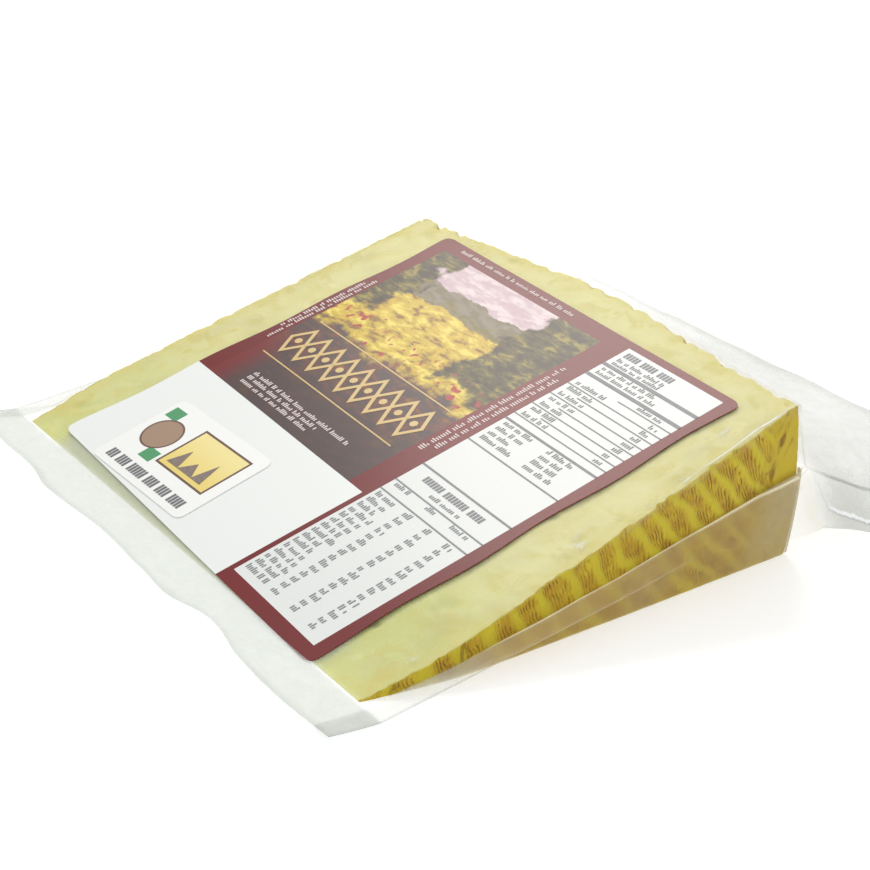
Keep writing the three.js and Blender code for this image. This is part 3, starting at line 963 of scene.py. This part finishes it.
# %% Put the film's material together
def film_look():
    look = Look("clear_film")
    where, x, y, _ = wheel_place(look)
    fine = look.noise(where, 5 * MM, 4.0, 0.55, 0.6)
    broad = look.noise(where, 12 * MM, 2.0, 0.5, 0.8)
    scuff = look.noise(where, 2.5 * MM, 3.0, 0.6)
    height = look.calc("ADD", look.calc("MULTIPLY", fine, 2.0), look.calc("MULTIPLY", scuff, 0.2))
    height = look.calc("ADD", height, look.calc("MULTIPLY", broad, 2.5))
    height = look.calc("MULTIPLY", height, look.calc("MULTIPLY_ADD", look.value("grey"), -0.6, 1.0))
    normal = look.bump(height, 0.12 * MM)
    # Reflection grows towards a grazing view, alike from both sides of the thin film.
    facing = look.add("ShaderNodeLayerWeight", {"Blend": 0.5, "Normal": normal}).outputs["Facing"]
    mirror = look.calc("MULTIPLY_ADD", look.calc("POWER", facing, 5.0), 0.16, 0.005)
    clear = look.add("ShaderNodeBsdfTransparent", {"Color": (0.985, 0.985, 0.98, 1)})
    gloss = look.add("ShaderNodeBsdfGlossy", {"Color": (1, 1, 1, 1), "Roughness": 0.14,
                                              "Normal": normal})
    skin = look.add("ShaderNodeMixShader", {0: mirror, 1: clear.outputs[0], 2: gloss.outputs[0]})
    # Painted highlights: white lines on the upper edges and white glint spots beside the near edge.
    painted_highlights = painted_edge_highlights(look, where, x, y, fine)
    crease = end_crease(look, x, y, fine)
    bright = look.calc("ADD", crease, painted_highlights, clamp=True)
    # Painted shadow: the flange is painted grey where shadow lies under it.
    colour = look.mix(look.value("grey"), MILK_WHITE, SHADOW_GREY)
    # Painted shade: brown over the rind, for shade and for light bounced off the rind.
    colour = look.mix(look.value("tint"), colour, PAINTED_SHADE_BROWN)
    # Painted highlight: cream along the seam's bead.
    colour = look.mix(look.value("seam"), colour, SEAM_HIGHLIGHT_CREAM)
    colour = look.mix(bright, colour, (1.0, 1.0, 1.0))
    milk = look.add("ShaderNodeBsdfDiffuse", {"Color": colour})
    glow = look.add("ShaderNodeBsdfTranslucent", {"Color": colour})
    # The painted highlights and the seam's painted cream take light from the front only, so they
    # stay bright.
    through = look.calc("MAXIMUM", bright, look.value("seam"))
    through = look.calc("MULTIPLY_ADD", through, -0.8, 0.5, clamp=True)
    milky = look.add("ShaderNodeMixShader", {0: through, 1: milk.outputs[0], 2: glow.outputs[0]})
    share = look.calc("MULTIPLY", look.value("haze"), look.step(scuff, 0.2, 0.8, 0.9, 1.1),
                      clamp=True)
    share = look.calc("ADD", share, look.calc("MULTIPLY_ADD", crease, 0.65, painted_highlights), clamp=True)
    whole = look.add("ShaderNodeMixShader", {0: share, 1: skin.outputs[0], 2: milky.outputs[0]})
    return look.finish(whole.outputs[0])


film.data.materials.clear()
film.data.materials.append(film_look())
smooth_by_angle(film, 60)

# %% [markdown]
# ## A sharp outer edge
# The webs meet at the pouch's outer edge and fold back on each other there. Smooth shading
# would mix the two opposite directions into dark specks, so these edges are marked sharp.

# %% Mark the outer edge sharp
outermost = np.empty(len(film.data.vertices), dtype=np.float32)
film.data.attributes["outermost"].data.foreach_get("value", outermost)
ends = np.empty(len(film.data.edges) * 2, dtype=np.int32)
film.data.edges.foreach_get("vertices", ends)
sharp_edges = (outermost > 0.5)[ends.reshape(-1, 2)].all(1)
on_chosen(film, "EDGE", sharp_edges, bpy.ops.mesh.mark_sharp)
print("sharp edges round the pouch:", int(sharp_edges.sum()))

# %% [markdown]
# ## Paper on the film
# A label and a sticker lie on the upper face. Each starts as a grid of paper, gets rounded
# corners, a slight wave and a thickness. Their print is plain: fields of colour, rules and
# rows of short marks. Points are placed with the label's own two directions, up from the thin
# edge and across, in millimetres, and the same two numbers are kept on the points, so that
# the material can paint fields with straight, sharp edges.

# %% Paper placed on the sloping face
LABEL_TURN = math.radians(-2.7)
LABEL_LEVEL = 0.17 * MM
PAPER_THICK = 0.14 * MM
LABEL_SPAN = ((0.9, 90.4), (-41.0, 44.9))
LABEL_CORNER = 1.8


def paper_wave(u, v):
    """How far the paper stands off the film, up to about 0.1 mm."""
    wave = 0.5 + 0.28 * np.sin(u * 0.13 + 0.05 * v + 0.7) + 0.22 * np.sin(v * 0.17 - 0.06 * u)
    return 0.1 * MM * wave


def on_face(up, side, level, turned=LABEL_TURN):
    """Points of the wheel frame for a place on the sloping face; up and side are in mm."""
    u = up * math.cos(turned) - side * math.sin(turned)
    v = up * math.sin(turned) + side * math.cos(turned)
    stand = level + paper_wave(u, v)
    x = u * MM * math.cos(WEDGE_ANGLE) - stand * math.sin(WEDGE_ANGLE)
    z = TIP_THICKNESS + u * MM * math.sin(WEDGE_ANGLE) + stand * math.cos(WEDGE_ANGLE)
    return np.stack([x, v * MM, z], 1)


def paper(name, span, corner, level, steps, turned=LABEL_TURN, wobble=0.0):
    """A sheet with round corners; wobble is how far its sides wander, in millimetres."""
    (low_up, high_up), (low_side, high_side) = span
    deselect()
    bpy.ops.mesh.primitive_grid_add(x_subdivisions=steps[0], y_subdivisions=steps[1], size=2)
    piece = named(name)
    flat = points_of(piece)
    half_up, half_side = (high_up - low_up) / 2, (high_side - low_side) / 2
    up, side = flat[:, 0] * half_up, flat[:, 1] * half_side
    over_up = np.maximum(np.abs(up) - (half_up - corner), 0)
    over_side = np.maximum(np.abs(side) - (half_side - corner), 0)
    both = (over_up > 0) & (over_side > 0)
    pull = np.maximum(over_up, over_side) / np.maximum(np.hypot(over_up, over_side), 1e-9)
    pull = np.where(both, pull, 1)
    up = up - np.sign(up) * over_up * (1 - pull) + (low_up + high_up) / 2
    side = side - np.sign(side) * over_side * (1 - pull) + (low_side + high_side) / 2
    edge_out = smoothstep(np.abs(flat[:, 1]), 0.96, 1.0) * np.sign(flat[:, 1])
    side = side + wobble * edge_out * np.sin(up * 0.21 + 1.0)
    move_points(piece, on_face(up, side, level, turned))
    keep_value(piece, "up", up)
    keep_value(piece, "side", side)
    thicken(piece, PAPER_THICK, -1)
    smooth_by_angle(piece, 50)
    return piece


label = paper("label_sheet", LABEL_SPAN, LABEL_CORNER, LABEL_LEVEL, (132, 128), wobble=0.35)
print("label:", len(label.data.polygons), "faces")

# %% [markdown]
# ## The label's print
# The print is built from plain fields. A field is where both of the label's numbers lie
# within limits, which a Compare node answers with 1 or 0. The picture is a landscape of no
# real place: sky, trees, a golden field and dark earth, each a band whose border is moved by
# noise, with dabs of lighter and darker paint.

# %% Material of the label
PAPER_WHITE, TABLE_WHITE = rgb(238, 241, 239), rgb(229, 232, 230)
MAROON = rgb(122, 16, 20)
MAROON_DEEP = rgb(98, 10, 16)
BLANK_FIELD = (-5, 30, -12.6, 60)
TABLE_FIELD = (3.7, 88.6, -38.5, -13.8)
PICTURE_FIELD = (30, 86.5, -8.2, 41.2)
SKY, CLOUD, HILL = rgb(198, 172, 180), rgb(224, 208, 208), rgb(128, 120, 96)
TREE, TREE_LIGHT, TREE_DARK = rgb(96, 86, 34), rgb(160, 144, 56), rgb(52, 42, 24)
FIELD, FIELD_LIGHT, FIELD_DARK = rgb(206, 174, 46), rgb(232, 212, 92), rgb(138, 100, 34)
EARTH, EARTH_DARK, POPPY = rgb(112, 64, 48), rgb(74, 58, 58), rgb(172, 44, 40)


def within(look, value, low, high):
    return look.calc("COMPARE", value, (low + high) / 2, (high - low) / 2)


def field(look, up, side, limits):
    return look.calc("MULTIPLY", within(look, up, *limits[:2]), within(look, side, *limits[2:]))


def label_print():
    look = Look("label_print")
    up, side = look.value("up"), look.value("side")
    flat = look.add("ShaderNodeCombineXYZ", {"X": up, "Y": side, "Z": 0.0}).outputs[0]
    # Brush strokes lie across the picture, so the noise is stretched along it.
    dabs = look.noise(look.stretched(flat, (1.0, 0.4, 1.0)), 1.9, 3.0, 0.6, 0.3)
    blobs = look.noise(flat, 9.0, 4.0, 0.6, 0.2)
    drift = look.sway(blobs, 16.0)
    level = look.calc("ADD", up, drift)
    sky = look.mix(look.step(dabs, 0.4, 0.65), SKY, CLOUD)
    tree = look.mix(look.step(dabs, 0.38, 0.58), TREE_DARK, TREE)
    tree = look.mix(look.calc("MULTIPLY", look.step(dabs, 0.54, 0.66), 0.8), tree, TREE_LIGHT)
    grass = look.mix(look.step(dabs, 0.34, 0.5), FIELD_DARK, FIELD)
    grass = look.mix(look.step(dabs, 0.5, 0.64), grass, FIELD_LIGHT)
    earth = look.mix(look.step(dabs, 0.42, 0.62), EARTH_DARK, EARTH)
    earth = look.mix(look.calc("MULTIPLY", look.step(dabs, 0.6, 0.68), 0.7), earth, FIELD_DARK)
    picture = look.mix(look.step(level, 75.0, 76.0), grass, sky)
    hill = within(look, look.calc("MULTIPLY_ADD", drift, 0.4, up), 73.0, 79.0)
    far_land = look.mix(look.step(dabs, 0.4, 0.6), HILL, TREE)
    picture = look.mix(look.calc("MULTIPLY", hill, 0.9), picture, far_land)
    wood = look.calc("ADD", look.calc("MULTIPLY", look.calc("SUBTRACT", side, 7.0), -0.75), drift)
    wood = look.calc("MULTIPLY", look.step(wood, 0.5, 2.0), look.step(level, 58.0, 60.0))
    picture = look.mix(wood, picture, tree)
    grove = look.calc("ADD", look.calc("MULTIPLY", look.calc("SUBTRACT", side, 33.0), 0.8), drift)
    grove = look.calc("MULTIPLY", look.step(grove, 0.5, 2.0), look.step(level, 63.0, 65.0))
    picture = look.mix(grove, picture, tree)
    picture = look.mix(look.step(level, 54.0, 57.0, 1.0, 0.0), picture, earth)
    poppy = look.calc("MULTIPLY", look.step(look.noise(flat, 2.6, 1.0), 0.6, 0.64),
                      look.step(level, 60.0, 64.0, 1.0, 0.0))
    picture = look.mix(look.calc("MULTIPLY", poppy, look.step(up, 54.5, 56.0)), picture, POPPY)
    picture = look.mix(look.step(up, 38.0, 48.0, 0.85, 0.0), picture, EARTH_DARK)
    ink = look.noise(flat, 40.0, 2.0)
    maroon = look.mix(ink, MAROON_DEEP, MAROON)
    fade = look.calc("MULTIPLY", look.step(side, 33.0, 41.0), look.step(up, 52.0, 40.0))
    picture = look.mix(look.calc("MULTIPLY", fade, 0.9), picture, MAROON)
    colour = look.mix(field(look, up, side, BLANK_FIELD), maroon, PAPER_WHITE)
    colour = look.mix(field(look, up, side, PICTURE_FIELD), colour, picture)
    colour = look.mix(field(look, up, side, TABLE_FIELD), colour, TABLE_WHITE)
    tooth = look.noise(look.place(), 0.5 * MM, 2.0)
    normal = look.bump(tooth, 0.015 * MM)
    shader = look.add("ShaderNodeBsdfPrincipled", {
        "Base Color": colour, "Normal": normal, "Roughness": look.step(tooth, 0.0, 1.0, 0.34, 0.46),
        "IOR": 1.5, "Specular IOR Level": 0.1, "Coat Weight": 0.35, "Coat Roughness": 0.27})
    return look.finish(shader.outputs[0])


label.data.materials.append(label_print())
print("label's print:", len(label.data.materials[0].node_tree.nodes), "nodes")

# %% Material of the marks


def ink_look(name, colour, gloss=0.45):
    look = Look(name)
    worn = look.noise(look.place(), 0.6 * MM, 3.0)
    tint = look.mix(look.calc("MULTIPLY", worn, 0.25), colour, PAPER_WHITE)
    shader = look.add("ShaderNodeBsdfPrincipled", {
        "Base Color": tint, "Roughness": look.step(worn, 0.3, 0.7, gloss - 0.05, gloss + 0.1)})
    return look.finish(shader.outputs[0])


# %% [markdown]
# ## Rules, marks and ornaments
# Small print on a pack reads as rows of grey dashes from arm's length, so it is made as rows
# of short upright marks with gaps between groups. A block of them is one grid with its odd
# rows and columns deleted: what is left are loose little tiles, which are then spaced, given
# uneven heights, laid on the paper and thickened. Rules are long narrow grids. The band of
# gold is a row of lozenges, each a four-sided circle with an inset.

# %% Tiles and rules
INK_THICK = 0.03 * MM
TILE_WIDE, TILE_GAP = 0.27, 0.25
BLACK_INK, RULE_INK = rgb(98, 100, 106), rgb(104, 106, 112)
WHITE_INK, GOLD_INK = rgb(226, 208, 206), rgb(206, 168, 74)


def lay_flat(piece, level=LABEL_LEVEL, turned=LABEL_TURN):
    """Lays a flat piece, drawn in millimetres as up and side, onto the paper, and thickens it."""
    flat = points_of(piece)
    move_points(piece, on_face(flat[:, 0], flat[:, 1], level + INK_THICK, turned))
    thicken(piece, 1.6 * INK_THICK, 0)
    return piece


def mark_rows(name, start, length, rows, tall, pitch, seed, along_side=True, full=0.85,
              wide=TILE_WIDE):
    """Rows of marks; start is the first row's foot. They run to lower side, or to higher up."""
    draw = random.Random(seed)
    count = max(2, int(length / (wide + TILE_GAP)))
    deselect()
    bpy.ops.mesh.primitive_grid_add(x_subdivisions=2 * count, y_subdivisions=2 * rows, size=2)
    piece = named(name)
    flat = points_of(piece)
    column = np.rint((flat[:, 0] + 1) * count).astype(int)
    row = np.rint((flat[:, 1] + 1) * rows).astype(int)
    run = (column // 2) * (wide + TILE_GAP) + (column % 2) * wide
    growth = {(c, r): draw.choice((0, 0, 0, 0.35, 0.4, -0.25))
              for c in range(count) for r in range(rows)}
    uneven = np.array([growth.get((c // 2, r // 2), 0) for c, r in zip(column, row)])
    drop = -(row // 2) * pitch + (row % 2) * tall * (1 + uneven * (tall < 1.3))
    keep = set()
    for r in range(rows):
        ends = int(count * draw.uniform(full - 0.15, full + 0.15))
        place = 0
        while place < ends:
            word = draw.randint(2, 8)
            keep.update((c, r) for c in range(place, min(place + word, ends, count)))
            place += word + 1
    centres = np.array([face.center[:2] for face in piece.data.polygons])
    tile_column = np.floor((centres[:, 0] + 1) * count).astype(int)
    tile_row = np.floor((centres[:, 1] + 1) * rows).astype(int)
    gone = [c % 2 == 1 or r % 2 == 1 or (c // 2, r // 2) not in keep
            for c, r in zip(tile_column, tile_row)]
    up, side = start
    if along_side:
        spots = np.stack([up + drop, side - run, 0 * run], 1)
    else:
        spots = np.stack([up + run, side + drop, 0 * run], 1)
    move_points(piece, spots)
    on_chosen(piece, "FACE", gone, lambda: bpy.ops.mesh.delete(type="FACE"))
    return piece


def rule(name, limits, steps=10):
    """A flat bar between limits of up and side."""
    low_up, high_up, low_side, high_side = limits
    long_side = high_side - low_side > high_up - low_up
    deselect()
    bpy.ops.mesh.primitive_grid_add(x_subdivisions=1 if long_side else steps,
                                    y_subdivisions=steps if long_side else 1, size=2)
    piece = named(name)
    flat = points_of(piece)
    up = (low_up + high_up) / 2 + flat[:, 0] * (high_up - low_up) / 2
    side = (low_side + high_side) / 2 + flat[:, 1] * (high_side - low_side) / 2
    move_points(piece, np.stack([up, side, 0 * up], 1))
    return piece


# %% The tables' marks
# Each row block: its foot as up and side, its length, rows, height, pitch and seed.
dark_rows = [mark_rows("m", (86.0, -15.0), 16, 1, 1.6, 2, 11, full=0.95, wide=0.5),
             mark_rows("m", (84.4, -15.0), 15, 1, 0.75, 1.3, 12),
             mark_rows("m", (83.2, -15.0), 13, 1, 0.75, 1.3, 13),
             mark_rows("m", (80.9, -15.0), 20, 2, 0.75, 1.5, 14),
             mark_rows("m", (77.0, -29.0), 8, 1, 0.75, 1.5, 15),
             mark_rows("m", (74.8, -15.0), 9, 7, 0.8, 2.06, 16),
             mark_rows("m", (74.8, -34.5), 3, 7, 0.8, 2.06, 17, full=0.9),
             mark_rows("m", (58.4, -15.0), 9, 4, 0.8, 1.75, 18),
             mark_rows("m", (58.4, -27.0), 8, 4, 0.8, 1.75, 19),
             mark_rows("m", (39.0, -17.5), 19, 1, 1.5, 2, 21, full=0.95, wide=0.5),
             mark_rows("m", (37.2, -22.0), 10, 1, 0.7, 1.5, 22),
             mark_rows("m", (34.9, -15.0), 6, 1, 0.75, 1.4, 23),
             mark_rows("m", (34.9, -24.0), 4, 1, 0.75, 1.4, 24),
             mark_rows("m", (34.9, -31.0), 6, 1, 0.75, 1.4, 25)]
for seed, (side, length) in enumerate(((-14.6, 7.4), (-22.6, 2.6), (-28.5, 2.6), (-34.0, 2.6))):
    dark_rows.append(mark_rows("m", (31.2, side), length, 15, 0.9, 1.84, 30 + seed, full=0.8))
label_marks = lay_flat(join("label_marks", dark_rows))
label_marks.data.materials.append(ink_look("black_ink", BLACK_INK))

# Each rule: how far up, its thickness, and its share of the table's breadth.
TABLE_LEFT, TABLE_WIDE = -38.5, 24.7
RULES = ((82.5, 0.8, 1), (78.5, 0.8, 1), (76.4, 0.25, 0.55), (74.2, 0.25, 1), (72.2, 0.25, 0.8),
         (70.1, 0.25, 1), (68.0, 0.25, 0.8), (66.0, 0.25, 1), (64.0, 0.25, 0.8), (62.0, 0.25, 1),
         (60.0, 0.5, 1), (51.7, 0.3, 1), (42.0, 0.4, 1), (36.2, 0.3, 1), (33.0, 0.3, 1))
bars = [rule("r", (up - wide / 2, up + wide / 2, TABLE_LEFT, TABLE_LEFT + share * TABLE_WIDE))
        for up, wide, share in RULES]
label_rules = lay_flat(join("label_rules", bars))
label_rules.data.materials.append(ink_look("grey_ink", RULE_INK))
print("dark marks:", len(label_marks.data.polygons), "rules:", len(label_rules.data.polygons))

# %% White and gold marks on the dark fields
pale_rows = [mark_rows("w", (88.2, 38.0), 44, 1, 0.7, 1, 41, wide=0.3),
             mark_rows("w", (44.0, 42.0), 37, 1, 0.7, 1, 42, along_side=False, wide=0.3),
             mark_rows("w", (48.0, 43.3), 26, 1, 0.7, 1, 43, along_side=False, wide=0.3),
             mark_rows("w", (44.0, -10.4), 35, 1, 0.9, 1, 44, along_side=False),
             mark_rows("w", (46.0, -12.3), 31, 1, 0.9, 1, 45, along_side=False),
             mark_rows("w", (35.2, 33.0), 34, 3, 0.75, 1.5, 46, wide=0.3)]
label_pale_marks = lay_flat(join("label_pale_marks", pale_rows))
label_pale_marks.data.materials.append(ink_look("white_ink", WHITE_INK))

GOLD_SIDES = (-5.5, 38.5)
GOLD_UP, GOLD_FROM, GOLD_PITCH, LOZENGES = 47.4, 36.0, 4.9, 9
LOZENGE_SIZE, LOZENGE_STRETCH, LOZENGE_LINE, DOT_SIZE = 2.9, 1.7, 0.75, 0.85
gold = [rule("g", (53.9, 54.2, *GOLD_SIDES), 16), rule("g", (40.6, 40.9, *GOLD_SIDES), 16)]
for number in range(LOZENGES):
    centre = (GOLD_UP, GOLD_FROM - GOLD_PITCH * number, 0)
    deselect()
    bpy.ops.mesh.primitive_circle_add(vertices=4, radius=LOZENGE_SIZE, fill_type="NGON",
                                      location=centre)
    lozenge = named("g")
    tip_points = points_of(lozenge)
    tip_points[:, 0] = GOLD_UP + (tip_points[:, 0] - GOLD_UP) * LOZENGE_STRETCH
    move_points(lozenge, tip_points)
    in_edit_mode(lozenge, lambda: bpy.ops.mesh.inset(thickness=LOZENGE_LINE, depth=0),
                 lambda: bpy.ops.mesh.delete(type="FACE"))
    deselect()
    bpy.ops.mesh.primitive_circle_add(vertices=8, radius=DOT_SIZE, fill_type="NGON",
                                      location=centre)
    gold += [lozenge, named("g")]
label_gold = lay_flat(join("label_gold", gold))
label_gold.data.materials.append(ink_look("gold_ink", GOLD_INK, 0.35))
print("pale:", len(label_pale_marks.data.polygons), "gold:", len(label_gold.data.polygons))

# %% [markdown]
# ## The sticker
# A small white sticker lies on the label's blank part, near the thin edge. It carries a
# yellow panel with three plain hills in a brown frame, a brown disc between two green blocks,
# and one row of dark marks.

# %% The sticker and its print
STICKER_SPAN = ((3.3, 23.8), (4.3, 34.1))
STICKER_TURN = math.radians(1)
STICKER_LEVEL = LABEL_LEVEL + 0.17 * MM
PANEL_YELLOW, PANEL_LIGHT = rgb(232, 208, 110), rgb(240, 224, 150)
FRAME_BROWN, DISC_BROWN, BLOCK_GREEN = rgb(92, 60, 40), rgb(158, 128, 104), rgb(58, 148, 92)
STICKER_WHITE, CODE_INK = rgb(243, 244, 242), rgb(46, 48, 58)
PANEL, FRAME_WIDE = (10.2, 20.6, 7.4, 21.6), 0.5
GREEN_BLOCKS = ((8.6, 11.6, 22.8, 26.4), (18.6, 21.6, 29.4, 33.0))
DISC_AT, DISC_SIZE = (15.0, 28.0), 4.3


def sticker_print():
    look = Look("sticker_print")
    up, side = look.value("up"), look.value("side")
    frame_line = (PANEL[0] - FRAME_WIDE, PANEL[1] + FRAME_WIDE,
                  PANEL[2] - FRAME_WIDE, PANEL[3] + FRAME_WIDE)
    glow = look.mix(look.step(up, PANEL[0], PANEL[1]), PANEL_YELLOW, PANEL_LIGHT)
    colour = look.mix(field(look, up, side, frame_line), STICKER_WHITE, FRAME_BROWN)
    colour = look.mix(field(look, up, side, PANEL), colour, glow)
    for block in GREEN_BLOCKS:
        colour = look.mix(field(look, up, side, block), colour, BLOCK_GREEN)
    far = look.length(look.calc("SUBTRACT", up, DISC_AT[0]), look.calc("SUBTRACT", side, DISC_AT[1]))
    rim = look.step(far, DISC_SIZE - 0.1, DISC_SIZE + 0.05, 1.0, 0.0)
    inside = look.step(far, DISC_SIZE - 0.5, DISC_SIZE - 0.35, 1.0, 0.0)
    colour = look.mix(inside, look.mix(rim, colour, FRAME_BROWN), DISC_BROWN)
    tooth = look.noise(look.place(), 0.5 * MM, 2.0)
    shader = look.add("ShaderNodeBsdfPrincipled", {
        "Base Color": colour, "Normal": look.bump(tooth, 0.012 * MM),
        "Roughness": look.step(tooth, 0.0, 1.0, 0.38, 0.5), "IOR": 1.5})
    return look.finish(shader.outputs[0])


sticker = paper("sticker_sheet", STICKER_SPAN, 1.6, STICKER_LEVEL, (30, 40), STICKER_TURN)
sticker.data.materials.append(sticker_print())
print("sticker:", len(sticker.data.polygons), "faces")

# %% The sticker's marks and hills
# Each hill: where along the side, how tall and half how wide, in millimetres.
HILLS = ((18.6, 4.6, 2.0), (14.6, 3.2, 2.6), (11.0, 5.4, 1.7))
HILL_FOOT = 11.2
code_row = mark_rows("sticker_marks", (4.8, 31.5), 25, 1, 2.2, 2, 51, full=1.0, wide=0.55)
code_row.data.materials.append(ink_look("code_ink", CODE_INK))
brown_ink = ink_look("brown_ink", FRAME_BROWN)
hills = []
for at_side, tall, wide in HILLS:
    deselect()
    bpy.ops.mesh.primitive_circle_add(vertices=3, radius=1, fill_type="NGON")
    hill = named("h")
    corner = points_of(hill)
    corner[:, 0], corner[:, 1] = (HILL_FOOT + tall * (0.5 + corner[:, 1]) / 1.5,
                                  at_side + wide * corner[:, 0])
    move_points(hill, corner)
    hill.data.materials.append(brown_ink)
    hills.append(hill)
sticker_marks = lay_flat(join("sticker_marks", [code_row] + hills), STICKER_LEVEL, STICKER_TURN)
print("marks on the sticker:", len(sticker_marks.data.polygons), "faces")

# %% [markdown]
# ## Into the frame's place
# Everything so far was made around the wheel's axis. The frame's origin is at the middle of
# the wedge's underside, so each piece is moved along X in its own mesh, and its object stays
# at the origin. Then each piece rides on the body, and the solid it stands for is hidden.

# %% Move, ride and replace
stands_for = {
    cheese: ("cheese", ("bag",)), film: ("film", ("bag",)), label: ("label_paper", ("label",)),
    label_marks: ("label_paper", ("label",)), label_rules: ("label_paper", ("label",)),
    label_pale_marks: ("label_paper", ("label",)), label_gold: ("label_paper", ("label",)),
    sticker: ("sticker_paper", ("sticker",)), sticker_marks: ("sticker_paper", ("sticker",))}
for piece, (slot_name, solids) in stands_for.items():
    move_points(piece, points_of(piece) + np.array([AXIS_X, 0, 0]))
    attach(piece, "root")
    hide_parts(*solids)
print("pieces in place:", [piece.name for piece in stands_for])

# %% [markdown]
# ## Floor and light
# The photograph is high key: a white table that is lit until it nearly vanishes, soft light
# from all round, and a broad light behind and above that washes over the label's far end and
# leaves the near rind in soft shade.

# %% Table
TABLE_SIZE = 60
deselect()
bpy.ops.mesh.primitive_plane_add(size=TABLE_SIZE)
floor = named("floor")


def table_top():
    look = Look("white_table")
    grain = look.noise(look.place(), 40 * MM, 2.0)
    tone = look.mix(grain, rgb(238, 239, 241), rgb(241, 242, 244))
    shader = look.add("ShaderNodeBsdfPrincipled", {
        "Base Color": tone, "Roughness": 0.8, "Emission Color": (1, 1, 1, 1),
        "Emission Strength": 0.38})
    return look.finish(shader.outputs[0])


floor.data.materials.append(table_top())
print("table:", floor.name, "of", TABLE_SIZE, "m")

# %% Lights and room
# Each softbox: name, place, size, watts and colour. All look at the middle of the underside.
SOFTBOXES = (("back_softbox", (0.38, 0.65, 0.82), 0.42, 5.2, (1, 0.94, 0.88)),
             ("top_softbox", (-0.30, -0.15, 1.0), 0.5, 0.7, (1, 1, 1)),
             ("front_softbox", (-0.15, -1.1, 0.55), 0.8, 1.6, (1, 1, 1)),
             ("glint_softbox", (-0.12, 0.66, 0.9), 0.1, 0.6, (1, 1, 1)))
ROOM_COLOUR, ROOM_LIGHT = (0.985, 1, 1, 1), 0.62
for name, place, size, power, tint in SOFTBOXES:
    deselect()
    bpy.ops.object.light_add(type="AREA", location=place)
    light = bpy.context.object
    light.name = name
    light.data.shape = "SQUARE"
    light.data.size = size
    light.data.energy = power
    light.data.color = tint
    light.rotation_euler = (-Vector(place)).to_track_quat("-Z", "Y").to_euler()

world = bpy.data.worlds.new("white_room")
bpy.context.scene.world = world
world.use_nodes = True
background = world.node_tree.nodes["Background"]
background.inputs["Color"].default_value = ROOM_COLOUR
background.inputs["Strength"].default_value = ROOM_LIGHT
bpy.context.scene.view_settings.view_transform = "Standard"
